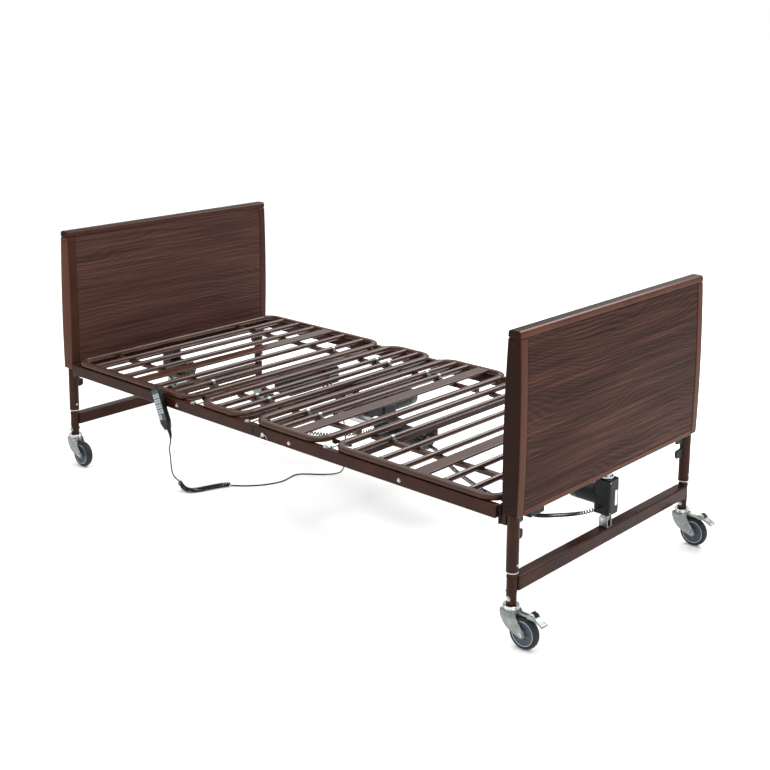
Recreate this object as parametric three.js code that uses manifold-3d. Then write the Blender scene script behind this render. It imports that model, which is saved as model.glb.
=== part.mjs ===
// An adjustable home-care bed: two wooden ends on telescopic legs with lift motors, and a steel deck
// in four hinged sections with a back motor and a knee motor.
// Millimetres. +X runs from the head to the foot, +Y to the patient's left, +Z up. Left and right are
// the patient's, lying face up.
import * as THREE from "three";
import { mergeVertices } from "three/addons/utils/BufferGeometryUtils.js";
import Module from "manifold-3d";

const wasm = await Module();
wasm.setup();

// ---- driving dimensions ----------------------------------------------------------------------

const GAP = 0.3; // clearance between parts that touch

const LEG_X = 1092.5; // leg axes from the middle of the bed
const LEG_Y = 502;
const LEG_BOTTOM = 125;
const INNER_LEG_R = 15.9;
const INNER_LEG_TOP = 720;
const OUTER_LEG_R = 19.05;
const OUTER_LEG_BORE_R = 16.5;
const OUTER_LEG_BOTTOM = 226;
const OUTER_LEG_TOP = 930;
const LEG_WELD = 17.6; // how near a leg's axis a welded part reaches, inside the wall

const CROSSBAR = { half: 20, end: LEG_Y - 13, bottom: 165, top: 210 };
const LIFT_PIN_Z = 238;

const BOARD = { half: 525, bottom: 400, top: 958, trim: 45, rail: 30, cap: 23 };
const SKIN_INSET = 1.5; // how far the laminate sits below the surround
const SKIN = 8;
const CROSS_TUBE = { bottom: 745, top: 770, half: 10 };

const RAIL = { outer: 535, inner: 510, bottom: 386, top: 426.5, end: 1050 };
const MEMBER = { bottom: 386.5, top: 411.5, width: 25 };
const SPLIT_X = 9; // where the deck frame comes apart
const LOCK_PIN = { x: 60, z: 405 };
const STUD_Z = 380; // the bolts that hold the deck frame to the ends

const RING = { half: 530, bottom: 427, top: 447, tube: 25, corner: 65, chamfer: 5 };
const SLAT_R = 9.5;
const SLAT_Z = 437;
const STRINGER = { y: 325, half: 10, bottom: 414, top: RING.bottom + 0.3 };
const PIVOT_Z = 420;
const HINGE_ROD_R = 5;
const BACK_PIVOT_X = -326;
const THIGH_PIVOT_X = -35;
const KNEE_PIVOT_X = 345;

const ACTUATOR_Z = 344;
const LEVER_DROP = PIVOT_Z - ACTUATOR_Z;
const BACK_TRAVEL = THREE.MathUtils.degToRad(65);
const THIGH_TRAVEL = THREE.MathUtils.degToRad(35);
const BACK_ACTUATOR_Y = 130;
const THIGH_ACTUATOR_Y = -50;
const THRUST_PIN_R = 5;

const WHEEL_R = 50;
const WHEEL_HALF = 15;
const TRAIL = 50.5; // wheel axle behind the swivel axis

const HANDSET = { x: -460, y: -552.25, z: 381, tilt: THREE.MathUtils.degToRad(25), width: 44, depth: 27.5 };

// ---- materials -------------------------------------------------------------------------------

const finish = (color, roughness, metalness) => new THREE.MeshStandardMaterial({ color, roughness, metalness });

const brownSteel = finish(0x3d2a24, 0.35, 0.5);
const laminate = finish(0x4b302a, 0.5, 0);
const trim = finish(0x5a3a2b, 0.45, 0);
const zinc = finish(0x9a9c98, 0.35, 0.9);
const chrome = finish(0xc8c8c8, 0.12, 1);
const tyre = finish(0x2c2f31, 0.75, 0);
const blackPlastic = finish(0x141516, 0.5, 0);
const greyKey = finish(0x8b9298, 0.6, 0);
const aluminium = finish(0xb9bbbc, 0.3, 0.9);
const cordJacket = finish(0x17181a, 0.6, 0);

// ---- solids ----------------------------------------------------------------------------------

// A closed three.js geometry as a manifold solid.
function solid(geometry) {
  const bare = geometry.clone();
  bare.deleteAttribute("normal");
  bare.deleteAttribute("uv");
  const merged = mergeVertices(bare, 1e-3);
  const vertProperties = new Float32Array(merged.attributes.position.array);
  const triVerts = new Uint32Array(merged.index.array);
  return new wasm.Manifold(new wasm.Mesh({ numProp: 3, vertProperties, triVerts }));
}

function geometryOf(manifold) {
  const mesh = manifold.getMesh();
  const geometry = new THREE.BufferGeometry();
  geometry.setAttribute("position", new THREE.BufferAttribute(mesh.vertProperties, 3));
  geometry.setIndex(new THREE.BufferAttribute(mesh.triVerts, 1));
  geometry.computeVertexNormals();
  return geometry;
}

const join = (first, ...others) => others.reduce((sum, other) => sum.add(other), first);
const cut = (base, ...tools) => tools.reduce((rest, tool) => rest.subtract(tool), base);

// A box between two limits on each axis, given in either order.
function block(x0, x1, y0, y1, z0, z1) {
  const box = new THREE.BoxGeometry(Math.abs(x1 - x0), Math.abs(y1 - y0), Math.abs(z1 - z0));
  return solid(box.translate((x0 + x1) / 2, (y0 + y1) / 2, (z0 + z1) / 2));
}

// A round bar between two points.
function rod(radius, from, to, sides = 16) {
  const start = new THREE.Vector3(...from);
  const run = new THREE.Vector3(...to).sub(start);
  const bar = new THREE.CylinderGeometry(radius, radius, run.length(), sides);
  const turn = new THREE.Quaternion().setFromUnitVectors(new THREE.Vector3(0, 1, 0), run.clone().normalize());
  const middle = start.addScaledVector(run, 0.5);
  return solid(bar.applyQuaternion(turn).translate(middle.x, middle.y, middle.z));
}

const rodX = (radius, x0, x1, y, z, sides) => rod(radius, [x0, y, z], [x1, y, z], sides);
const rodY = (radius, x, y0, y1, z, sides) => rod(radius, [x, y0, z], [x, y1, z], sides);
const rodZ = (radius, x, y, z0, z1, sides) => rod(radius, [x, y, z0], [x, y, z1], sides);

// A side outline, drawn in X and Z, with thickness along Y.
function sidePlate(shape, y0, y1, curveSegments = 4) {
  const plate = new THREE.ExtrudeGeometry(shape, { depth: y1 - y0, bevelEnabled: false, curveSegments });
  return solid(plate.rotateX(Math.PI / 2).translate(0, y1, 0));
}

function roundedRectangle(x0, x1, y0, y1, radius) {
  const shape = new THREE.Shape();
  shape.moveTo(x0 + radius, y0);
  shape.absarc(x1 - radius, y0 + radius, radius, -Math.PI / 2, 0);
  shape.absarc(x1 - radius, y1 - radius, radius, 0, Math.PI / 2);
  shape.absarc(x0 + radius, y1 - radius, radius, Math.PI / 2, Math.PI);
  shape.absarc(x0 + radius, y0 + radius, radius, Math.PI, 1.5 * Math.PI);
  shape.closePath();
  return shape;
}

// An upright housing with rounded corners seen from above.
function housing(x0, x1, y0, y1, z0, z1, radius) {
  const shape = roundedRectangle(x0, x1, y0, y1, radius);
  const body = new THREE.ExtrudeGeometry(shape, { depth: z1 - z0, bevelEnabled: false, curveSegments: 3 });
  return solid(body.translate(0, 0, z0));
}

const polygon = (points) => new THREE.Shape(points.map(([x, y]) => new THREE.Vector2(x, y)));

// ---- scene graph -----------------------------------------------------------------------------

const bed = new THREE.Group();

function add(name, material, manifold, parent = bed) {
  const mesh = new THREE.Mesh(geometryOf(manifold), material);
  mesh.name = name;
  parent.add(mesh);
  return mesh;
}

const ENDS = [
  { name: "head", x: -LEG_X, inward: 1 },
  { name: "foot", x: LEG_X, inward: -1 },
];
const SIDES = [
  { name: "right", sign: -1 },
  { name: "left", sign: 1 },
];

// ---- casters: a stem in the leg, a swivelling fork and a wheel -----------------------------------

const RACE = { radius: 26, bottom: 113, top: LEG_BOTTOM - GAP };
const KING_PIN = { radius: 6, head: 10, bottom: 94, top: 98 };
const PLUG_R = 11;
const PLUG_TOP = 185;
const ARM = { inner: 16.8, outer: 20 };

function casterStem() {
  const profile = [
    [0, KING_PIN.bottom],
    [KING_PIN.head, KING_PIN.bottom],
    [KING_PIN.head, KING_PIN.top],
    [KING_PIN.radius, KING_PIN.top],
    [KING_PIN.radius, RACE.bottom],
    [RACE.radius, RACE.bottom],
    [RACE.radius, RACE.top],
    [PLUG_R, RACE.top],
    [PLUG_R, PLUG_TOP],
    [0, PLUG_TOP],
  ];
  const stem = new THREE.LatheGeometry(profile.map(([r, z]) => new THREE.Vector2(r, z)), 12);
  return solid(stem.rotateX(Math.PI / 2));
}

function casterFork(withLug) {
  const arm = new THREE.Shape();
  arm.moveTo(-26, RACE.bottom - GAP);
  arm.lineTo(22, RACE.bottom - GAP);
  arm.quadraticCurveTo(32, 92, TRAIL + 13, WHEEL_R + 4);
  arm.absarc(TRAIL, WHEEL_R, 13, 0.3, -2.6, true);
  arm.quadraticCurveTo(4, 62, -26, 96);
  arm.closePath();
  const left = sidePlate(arm, ARM.inner, ARM.outer);
  const right = sidePlate(arm, -ARM.outer, -ARM.inner);
  const top = cut(
    rodZ(RACE.radius, 0, 0, 102, RACE.bottom - GAP, 14),
    rodZ(KING_PIN.radius + GAP + 0.2, 0, 0, 101, RACE.bottom, 12),
  );
  const axle = rodY(5, TRAIL, -24, 24, WHEEL_R, 12);
  const nuts = rodY(8, TRAIL, -24, -19, WHEEL_R, 6).add(rodY(8, TRAIL, 19, 24, WHEEL_R, 6));
  const fork = join(top, left, right, axle, nuts);
  if (!withLug) return fork;
  const lug = block(20, 64, -8, 8, 103.5, 110);
  return fork.add(lug);
}

function casterWheel() {
  const profile = [
    [5.5, -13],
    [17, -10],
    [32, -10],
    [35, -WHEEL_HALF],
    [45, -WHEEL_HALF],
    [WHEEL_R, -8],
    [WHEEL_R, 8],
    [45, WHEEL_HALF],
    [35, WHEEL_HALF],
    [32, 10],
    [17, 10],
    [5.5, 13],
    [5.5, -13],
  ];
  const wheel = new THREE.LatheGeometry(profile.map(([r, y]) => new THREE.Vector2(r, y)), 20);
  return solid(wheel.translate(TRAIL, 0, WHEEL_R));
}

// The brake lever, pressed down on the wheel's lock at rest, with a toe pad on top.
function brakePedal() {
  const lever = polygon([
    [66.5, 103.5],
    [92, 103.5],
    [122.5, 90],
    [122.5, 97],
    [95, 112],
    [70, 118],
    [66.5, 114],
  ]);
  const pad = block(72, 98, -10, 10, 110, 127);
  return sidePlate(lever, -15, 15).add(pad);
}

for (const end of ENDS) {
  for (const side of SIDES) {
    const caster = new THREE.Group();
    caster.position.set(end.x, side.sign * LEG_Y, 0);
    bed.add(caster);
    const place = `${end.name}_${side.name}`;
    add(`caster_stem_${place}`, chrome, casterStem(), caster);
    add(`caster_fork_${place}`, zinc, casterFork(end.name === "foot"), caster);
    add(`caster_wheel_${place}`, tyre, casterWheel(), caster);
    if (end.name === "foot") add(`brake_pedal_${place}`, zinc, brakePedal(), caster);
  }
}

// ---- leg frames: inner legs, crossbar and the clevis that holds the lift motor ----------------

function legFrame(end) {
  const legs = SIDES.map(({ sign }) =>
    cut(
      rodZ(INNER_LEG_R, end.x, sign * LEG_Y, LEG_BOTTOM, INNER_LEG_TOP, 20),
      rodZ(PLUG_R + 0.5, end.x, sign * LEG_Y, LEG_BOTTOM - 1, PLUG_TOP + 2, 12),
    ),
  );
  const bar = block(
    end.x - CROSSBAR.half, end.x + CROSSBAR.half, -CROSSBAR.end, CROSSBAR.end, CROSSBAR.bottom, CROSSBAR.top,
  );
  const ears = SIDES.map(({ sign }) =>
    block(end.x - 15, end.x + 15, sign * 9, sign * 14, CROSSBAR.top - 1, LIFT_PIN_Z + 15),
  );
  const pin = rodY(5, end.x, -18, 18, LIFT_PIN_Z, 12);
  return join(bar, ...legs, ...ears, pin);
}

// ---- lift motors: gearbox, motor and outer tube in one housing, and the rod that rises ---------

const LIFT_TUBE = { radius: 16, bore: 10.8, bottom: 405, top: 700 };
const LIFT_ROD = { radius: 10, bottom: 420, top: CROSS_TUBE.bottom - GAP };

function liftHousing(end) {
  const x = end.x;
  const gearbox = housing(x - 30, x + 30, -30, 30, 258, 376, 9);
  const eye = block(x - 12, x + 12, -8.5, 8.5, LIFT_PIN_Z - 12, 262);
  const motor = rodX(33, x + end.inward * 20, x + end.inward * 127, 0, 312, 20);
  const tube = rodZ(LIFT_TUBE.radius, x, 0, 370, LIFT_TUBE.top, 20);
  const bore = rodZ(LIFT_TUBE.bore, x, 0, LIFT_TUBE.bottom, LIFT_TUBE.top + 1, 20);
  const pinHole = rodY(5.5, x, -10, 10, LIFT_PIN_Z, 12);
  return cut(join(gearbox, eye, motor, tube), bore, pinHole);
}

// ---- bed ends: surround, two laminate skins and the steel frame with the outer legs -------------

// Half the thickness of the bowed side at a height: a parabola through the bottom, middle and top.
function boardHalf(z) {
  const bottomHalf = 27;
  const slope = 21;
  const bow = -26;
  const t = (z - BOARD.bottom) / (BOARD.top - BOARD.bottom);
  return bottomHalf + slope * t + bow * t * t;
}

// A curved strip of the board's side between two insets from the surface.
function boardStrip(x, face, z0, z1, outerInset, innerInset) {
  const steps = 8;
  const heights = Array.from({ length: steps + 1 }, (_, i) => z0 + ((z1 - z0) * i) / steps);
  const outer = heights.map((z) => [x + face * (boardHalf(z) - outerInset), z]);
  const inner = heights.map((z) => [x + face * (boardHalf(z) - innerInset), z]);
  return polygon([...outer, ...inner.reverse()]);
}

function boardSurround(end) {
  const x = end.x;
  const steps = 10;
  const heights = Array.from(
    { length: steps + 1 },
    (_, i) => BOARD.bottom + ((BOARD.top - BOARD.bottom) * i) / steps,
  );
  const outline = [
    ...heights.map((z) => [x + boardHalf(z), z]),
    ...heights.reverse().map((z) => [x - boardHalf(z), z]),
  ];
  const opening = block(
    x - 50, x + 50, BOARD.trim - BOARD.half, BOARD.half - BOARD.trim,
    BOARD.bottom + BOARD.rail, BOARD.top - BOARD.cap,
  );
  const legBores = SIDES.map(({ sign }) =>
    rodZ(OUTER_LEG_R + 0.5, x, sign * LEG_Y, BOARD.bottom - 1, OUTER_LEG_TOP + 5, 20),
  );
  const tubeSlots = SIDES.map(({ sign }) =>
    block(
      x - CROSS_TUBE.half - GAP, x + CROSS_TUBE.half + GAP, sign * 470, sign * 500,
      CROSS_TUBE.bottom - GAP, CROSS_TUBE.top + GAP,
    ),
  );
  const liftHole = rodZ(LIFT_TUBE.radius + 2, x, 0, BOARD.bottom - 1, BOARD.bottom + BOARD.rail + 1, 20);
  return cut(sidePlate(polygon(outline), -BOARD.half, BOARD.half), opening, ...legBores, ...tubeSlots, liftHole);
}

function boardSkin(end, face) {
  const half = BOARD.half - BOARD.trim - GAP;
  const bottom = BOARD.bottom + BOARD.rail + GAP;
  const top = BOARD.top - BOARD.cap - GAP;
  return sidePlate(boardStrip(end.x, face, bottom, top, SKIN_INSET, SKIN_INSET + SKIN), -half, half);
}

// Slotted corner brackets reach inwards from the legs. The foot end's left one is longer, and a cable
// bracket on the foot end's right leg carries the lift cord's socket.
const BRACKET = { bottom: 318, top: 397, half: 4, notchBottom: 346, notchTop: 372 };
const BRACKET_REACH = { head_right: 24, head_left: 24, foot_right: 24, foot_left: 46 };
const CABLE_BRACKET = { reach: 120, bottom: 374, half: 12 };
const SOCKET = { near: 1056.4, bottom: 366, top: 397, y0: 489, y1: 515 };

function boardFrame(end) {
  const solids = [];
  for (const { name, sign } of SIDES) {
    const bracketReach = BRACKET_REACH[`${end.name}_${name}`];
    const weldY = sign * (LEG_Y - LEG_WELD);
    const edgeY = sign * (LEG_Y - OUTER_LEG_R - bracketReach);
    const bracket = cut(
      block(end.x - BRACKET.half, end.x + BRACKET.half, weldY, edgeY, BRACKET.bottom, BRACKET.top),
      block(
        end.x - 10, end.x + 10, edgeY - sign, edgeY + sign * (bracketReach - 8),
        BRACKET.notchBottom, BRACKET.notchTop,
      ),
    );
    const socketX = -end.inward * SOCKET.near;
    const socket = block(
      socketX, end.x + end.inward * LEG_WELD, sign * SOCKET.y0, sign * SOCKET.y1, SOCKET.bottom, SOCKET.top,
    );
    const stud = rodX(5, socketX - end.inward * 2, socketX + end.inward * 16, sign * LEG_Y, STUD_Z, 12);
    const leg = cut(
      rodZ(OUTER_LEG_R, end.x, sign * LEG_Y, OUTER_LEG_BOTTOM, OUTER_LEG_TOP, 20),
      rodZ(OUTER_LEG_BORE_R, end.x, sign * LEG_Y, OUTER_LEG_BOTTOM - 1, OUTER_LEG_TOP - 8, 20),
    );
    solids.push(leg, bracket, socket, stud);
  }
  if (end.name === "foot") {
    const legEdge = -LEG_Y + LEG_WELD;
    const socketEdge = -LEG_Y + OUTER_LEG_R + CABLE_BRACKET.reach;
    const { half, bottom } = CABLE_BRACKET;
    solids.push(block(end.x - half, end.x + half, legEdge, socketEdge, bottom, BRACKET.top));
  }
  const reach = LEG_Y - LEG_WELD;
  const { half, bottom, top } = CROSS_TUBE;
  solids.push(block(end.x - half, end.x + half, -reach, reach, bottom, top));
  return join(...solids);
}

for (const end of ENDS) {
  add(`${end.name}_leg_frame`, brownSteel, legFrame(end));
  add(`${end.name}_lift_housing`, blackPlastic, liftHousing(end));
  add(`${end.name}_lift_rod`, aluminium, rodZ(LIFT_ROD.radius, end.x, 0, LIFT_ROD.bottom, LIFT_ROD.top, 20));
  add(`${end.name}_board_surround`, trim, boardSurround(end));
  add(`${end.name}_board_inner_panel`, laminate, boardSkin(end, end.inward));
  add(`${end.name}_board_outer_panel`, laminate, boardSkin(end, -end.inward));
  add(`${end.name}_board_frame`, brownSteel, boardFrame(end));
}

// ---- deck frame: two halves that plug together, and their lock pins ------------------------------

const SPIGOT = { y0: 514, y1: 531, z0: 390.5, z1: 422.5, end: 90 };
const END_PLATE = { x0: 1049, x1: 1056, y0: 486, y1: 520, bottom: 366, top: RAIL.top };

// A cross member between the rails, at an X.
const member = (x) =>
  block(x, x + MEMBER.width, -RAIL.inner - 2, RAIL.inner + 2, MEMBER.bottom, MEMBER.top);

const hingeSocket = (x, sign) => rodY(HINGE_ROD_R + 0.5, x, sign * 500, sign * 519, PIVOT_Z, 12);

function endPlate(end, sign) {
  const toward = -end.inward;
  const plate = block(
    toward * END_PLATE.x0, toward * END_PLATE.x1, sign * END_PLATE.y0, sign * END_PLATE.y1,
    END_PLATE.bottom, END_PLATE.top,
  );
  const studHole = rodX(5.5, toward * 1040, toward * 1060, sign * LEG_Y, STUD_Z, 12);
  return cut(plate, studHole);
}

const HEAD_MEMBERS = [-RAIL.end, -460, -145];
const FOOT_MEMBERS = [20, 400, RAIL.end - MEMBER.width];

function headDeckFrame() {
  const solids = HEAD_MEMBERS.map(member);
  const peg = rodY(4, -469, -RAIL.outer + 2, -RAIL.outer - 6, 400, 10);
  const backHanger = block(-143, -122, BACK_ACTUATOR_Y - 10, BACK_ACTUATOR_Y + 10, 360.5, MEMBER.bottom + 1);
  solids.push(peg, backHanger);
  const holes = [];
  for (const { sign } of SIDES) {
    solids.push(block(-RAIL.end, SPLIT_X - 0.5, sign * RAIL.inner, sign * RAIL.outer, RAIL.bottom, RAIL.top));
    solids.push(block(SPLIT_X - 2, SPIGOT.end, sign * SPIGOT.y0, sign * SPIGOT.y1, SPIGOT.z0, SPIGOT.z1));
    solids.push(endPlate(ENDS[0], sign));
    holes.push(rodY(4.5, LOCK_PIN.x, sign * 500, sign * 540, LOCK_PIN.z, 12));
    holes.push(hingeSocket(BACK_PIVOT_X, sign), hingeSocket(THIGH_PIVOT_X, sign));
  }
  return cut(join(...solids), ...holes);
}

function footDeckFrame() {
  const solids = FOOT_MEMBERS.map(member);
  const gearboxHanger = block(22, 43, BACK_ACTUATOR_Y - 10, BACK_ACTUATOR_Y + 10, 374.5, MEMBER.bottom + 1);
  const kneeHanger = block(22, 43, THIGH_ACTUATOR_Y - 10, THIGH_ACTUATOR_Y + 10, 360.5, MEMBER.bottom + 1);
  solids.push(gearboxHanger, kneeHanger);
  const holes = [];
  for (const { sign } of SIDES) {
    solids.push(block(SPLIT_X + 0.5, RAIL.end, sign * RAIL.inner, sign * RAIL.outer, RAIL.bottom, RAIL.top));
    solids.push(endPlate(ENDS[1], sign));
    holes.push(
      block(
        SPLIT_X, SPIGOT.end + 5, sign * (SPIGOT.y0 - GAP), sign * (SPIGOT.y1 + GAP),
        SPIGOT.z0 - GAP, SPIGOT.z1 + GAP,
      ),
      rodY(4.5, LOCK_PIN.x, sign * 500, sign * 540, LOCK_PIN.z, 12),
    );
  }
  return cut(join(...solids), ...holes);
}

function lockPin(sign) {
  const shank = rodY(4, LOCK_PIN.x, sign * 506, sign * (RAIL.outer + 2), LOCK_PIN.z, 12);
  const head = rodY(8, LOCK_PIN.x, sign * (RAIL.outer + GAP), sign * (RAIL.outer + 6.3), LOCK_PIN.z, 16);
  return shank.add(head);
}

add("head_deck_frame", brownSteel, headDeckFrame());
add("foot_deck_frame", brownSteel, footDeckFrame());
for (const { name, sign } of SIDES) add(`lock_pin_${name}`, zinc, lockPin(sign));

// ---- deck sections: a bent tube ring with slats, two stringers and hinge lugs ---------------------

const FLAT_SLAT = { half: 27, bottom: 437, top: 445.5 };
const LUG_HALF = 3;

// A rounded ring of flattened tube, lying flat.
function ring(x0, x1) {
  const c = RING.chamfer;
  const outer = roundedRectangle(x0 + c, x1 - c, c - RING.half, RING.half - c, RING.corner - c);
  const t = RING.tube - c;
  outer.holes.push(roundedRectangle(x0 + t, x1 - t, t - RING.half, RING.half - t, RING.corner - t));
  const tube = new THREE.ExtrudeGeometry(outer, {
    depth: RING.top - RING.bottom - 2 * c,
    bevelThickness: c,
    bevelSize: c,
    bevelSegments: 1,
    curveSegments: 4,
  });
  return solid(tube.translate(0, 0, RING.bottom + c));
}

const slat = (x) => rodY(SLAT_R, x, -RING.half + 14, RING.half - 14, SLAT_Z, 8);
const flatSlat = (x) =>
  block(
    x - FLAT_SLAT.half, x + FLAT_SLAT.half, -RING.half + 14, RING.half - 14, FLAT_SLAT.bottom, FLAT_SLAT.top,
  );
const stringer = (x0, x1, sign) =>
  block(
    x0 + 3, x1 - 3, sign * (STRINGER.y - STRINGER.half), sign * (STRINGER.y + STRINGER.half),
    STRINGER.bottom, STRINGER.top,
  );

// An eye round a hinge rod, joined to the underside of a ring by a short bar.
function hingeLug(pivotX, ringX, y) {
  const eye = rodY(10, pivotX, y - LUG_HALF, y + LUG_HALF, PIVOT_Z, 16);
  const bar = block(pivotX, ringX, y - LUG_HALF, y + LUG_HALF, 415, 431);
  return cut(eye.add(bar), rodY(HINGE_ROD_R + 0.6, pivotX, y - 10, y + 10, PIVOT_Z, 12));
}

// A slotted lever welded below a hinge rod, pushed by a thrust pin. It is tilted so that its swing is
// even about straight down.
function thrustLever(pivotX, y, tilt, slotRadius) {
  const furthest = LEVER_DROP / Math.cos(tilt) + 1.5;
  const nearest = LEVER_DROP - 1.5;
  const arm = new THREE.Shape();
  arm.absarc(0, 0, 12, 0, Math.PI);
  arm.absarc(0, -furthest, slotRadius + 6.5, Math.PI, 2 * Math.PI);
  arm.closePath();
  const slot = new THREE.Path();
  slot.absarc(0, -nearest, slotRadius, 0, Math.PI);
  slot.absarc(0, -furthest, slotRadius, Math.PI, 2 * Math.PI);
  slot.closePath();
  arm.holes.push(slot);
  const plate = new THREE.ExtrudeGeometry(arm, { depth: 4, bevelEnabled: false, curveSegments: 4 });
  return solid(plate.rotateX(Math.PI / 2).rotateY(tilt).translate(pivotX, y + 2, PIVOT_Z));
}

const LEVER_SPREAD = 11.5; // the lever plates, either side of the thrust rod

// A hinge rod that turns with its section, with the pair of levers that its motor pushes.
function drivenHingeRod(pivotX, actuatorY, tilt, slotRadius) {
  const levers = SIDES.map(({ sign }) => thrustLever(pivotX, actuatorY + sign * LEVER_SPREAD, tilt, slotRadius));
  return join(rodY(HINGE_ROD_R, pivotX, -517, 517, PIVOT_Z, 12), ...levers);
}

function section(x0, x1, slats, flatSlats) {
  return join(
    ring(x0, x1),
    ...slats.map(slat),
    ...flatSlats.map(flatSlat),
    ...SIDES.map(({ sign }) => stringer(x0, x1, sign)),
  );
}

const BACK = { x0: -1045, x1: -345, slats: [-934, -838, -743, -557, -448], flat: [-651] };
const SEAT = { x0: -300, x1: -60, slats: [-205, -140], flat: [] };
const THIGH = { x0: -10, x1: 320, slats: [60, 120], flat: [200] };
const CALF = { x0: 370, x1: 1050, slats: [460, 571, 665, 836, 935], flat: [744] };

function backSection() {
  const lugs = SIDES.map(({ sign }) => hingeLug(BACK_PIVOT_X, BACK.x1 - 12, sign * 450));
  return join(section(BACK.x0, BACK.x1, BACK.slats, BACK.flat), ...lugs);
}

function thighSection() {
  const hipLugs = SIDES.map(({ sign }) => hingeLug(THIGH_PIVOT_X, THIGH.x0 + 12, sign * 450));
  const kneeLugs = SIDES.map(({ sign }) => hingeLug(KNEE_PIVOT_X, THIGH.x1 - 12, sign * 450));
  return join(section(THIGH.x0, THIGH.x1, THIGH.slats, THIGH.flat), ...hipLugs, ...kneeLugs);
}

function calfSection() {
  const lugs = SIDES.map(({ sign }) => hingeLug(KNEE_PIVOT_X, CALF.x0 + 12, sign * 438));
  return join(section(CALF.x0, CALF.x1, CALF.slats, CALF.flat), ...lugs);
}

add("back_section", brownSteel, backSection());
add("seat_section", brownSteel, section(SEAT.x0, SEAT.x1, SEAT.slats, SEAT.flat));
add("thigh_section", brownSteel, thighSection());
add("calf_section", brownSteel, calfSection());
add("back_hinge_rod", zinc, drivenHingeRod(BACK_PIVOT_X, BACK_ACTUATOR_Y, -BACK_TRAVEL / 2, 7.6));
add("thigh_hinge_rod", zinc, drivenHingeRod(THIGH_PIVOT_X, THIGH_ACTUATOR_Y, THIGH_TRAVEL / 2, 6.2));
add("knee_hinge_rod", zinc, rodY(HINGE_ROD_R, KNEE_PIVOT_X, -495, 495, PIVOT_Z, 12));

// ---- back and knee motors -----------------------------------------------------------------------

const TUBE_R = 16;
const THRUST_BORE_R = 9.5;
const THRUST_ROD_R = 8.8;

// The thrust pin's place at rest, for a lever that starts half its swing from straight down.
const thrustPinX = (pivotX, tilt) => pivotX - LEVER_DROP * Math.tan(tilt);
const BACK_PIN_X = thrustPinX(BACK_PIVOT_X, -BACK_TRAVEL / 2);
const THIGH_PIN_X = thrustPinX(THIGH_PIVOT_X, THIGH_TRAVEL / 2);

function thrustRod(pinX, endX, y) {
  const eye = block(pinX - 10, pinX + 10, y - 8.8, y + 8.8, ACTUATOR_Z - 10, ACTUATOR_Z + 10);
  const shaft = rodX(THRUST_ROD_R, pinX + 5, endX, y, ACTUATOR_Z, 16);
  const pin = rodY(THRUST_PIN_R, pinX, y - 16, y + 16, ACTUATOR_Z, 12);
  return join(eye, shaft, pin);
}

function backActuatorHousing() {
  const y = BACK_ACTUATOR_Y;
  const gearbox = housing(-30, 50, y - 38, y + 38, 306, 374, 10);
  const tube = rodX(TUBE_R, -180, -25, y, ACTUATOR_Z, 20);
  const bore = rodX(THRUST_BORE_R, -181, -35, y, ACTUATOR_Z, 20);
  const motor = rodY(32, 10, y + 30, y + 175, 339, 20);
  const electronics = housing(-100, 45, 2, y - 33, 322, 374, 6);
  const gland = rodX(6, -112, -99, 62, 345, 12);
  return cut(join(gearbox, tube, motor, electronics, gland), bore);
}

function thighActuatorHousing() {
  const y = THIGH_ACTUATOR_Y;
  const gearbox = housing(160, 240, y - 40, y + 40, 304, 376, 10);
  const tube = rodX(TUBE_R, 20, 165, y, ACTUATOR_Z, 20);
  const bore = rodX(THRUST_BORE_R, 19, 155, y, ACTUATOR_Z, 20);
  const motor = rodX(33, 235, 395, y, 338, 20);
  const ear = block(375, 424, y - 12, y + 12, 360, MEMBER.bottom - GAP);
  return cut(join(gearbox, tube, motor, ear), bore);
}

function controlBox() {
  const body = housing(-500, -400, 40, 320, 305, 372, 8);
  const tabs = [70, 290].map((y) => block(-458, -437, y - 12, y + 12, 370, MEMBER.bottom - GAP));
  const mainsInlet = block(-501, -488, 92, 120, 324, 346);
  return cut(join(body, ...tabs), mainsInlet);
}

add("back_actuator_housing", blackPlastic, backActuatorHousing());
add("back_thrust_rod", aluminium, thrustRod(BACK_PIN_X, -45, BACK_ACTUATOR_Y));
add("thigh_actuator_housing", blackPlastic, thighActuatorHousing());
add("thigh_thrust_rod", aluminium, thrustRod(THIGH_PIN_X, 100, THIGH_ACTUATOR_Y));
add("control_box", blackPlastic, controlBox());

// ---- handset: a shell hung on the right rail, with two columns of keys --------------------------

const KEY = { width: 13, height: 10.5, out: 1.3, depth: 3.6, pitch: 19.5, column: 9.2, topRow: 52 };
const KEY_COLUMNS = [
  ["key_back_up", "key_knee_up", "key_height_up", "key_contour_up", "key_lock"],
  ["key_back_down", "key_knee_down", "key_height_down", "key_contour_down"],
];

const handset = new THREE.Group();
handset.position.set(HANDSET.x, HANDSET.y, HANDSET.z);
handset.rotation.y = -HANDSET.tilt;
bed.add(handset);

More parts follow.
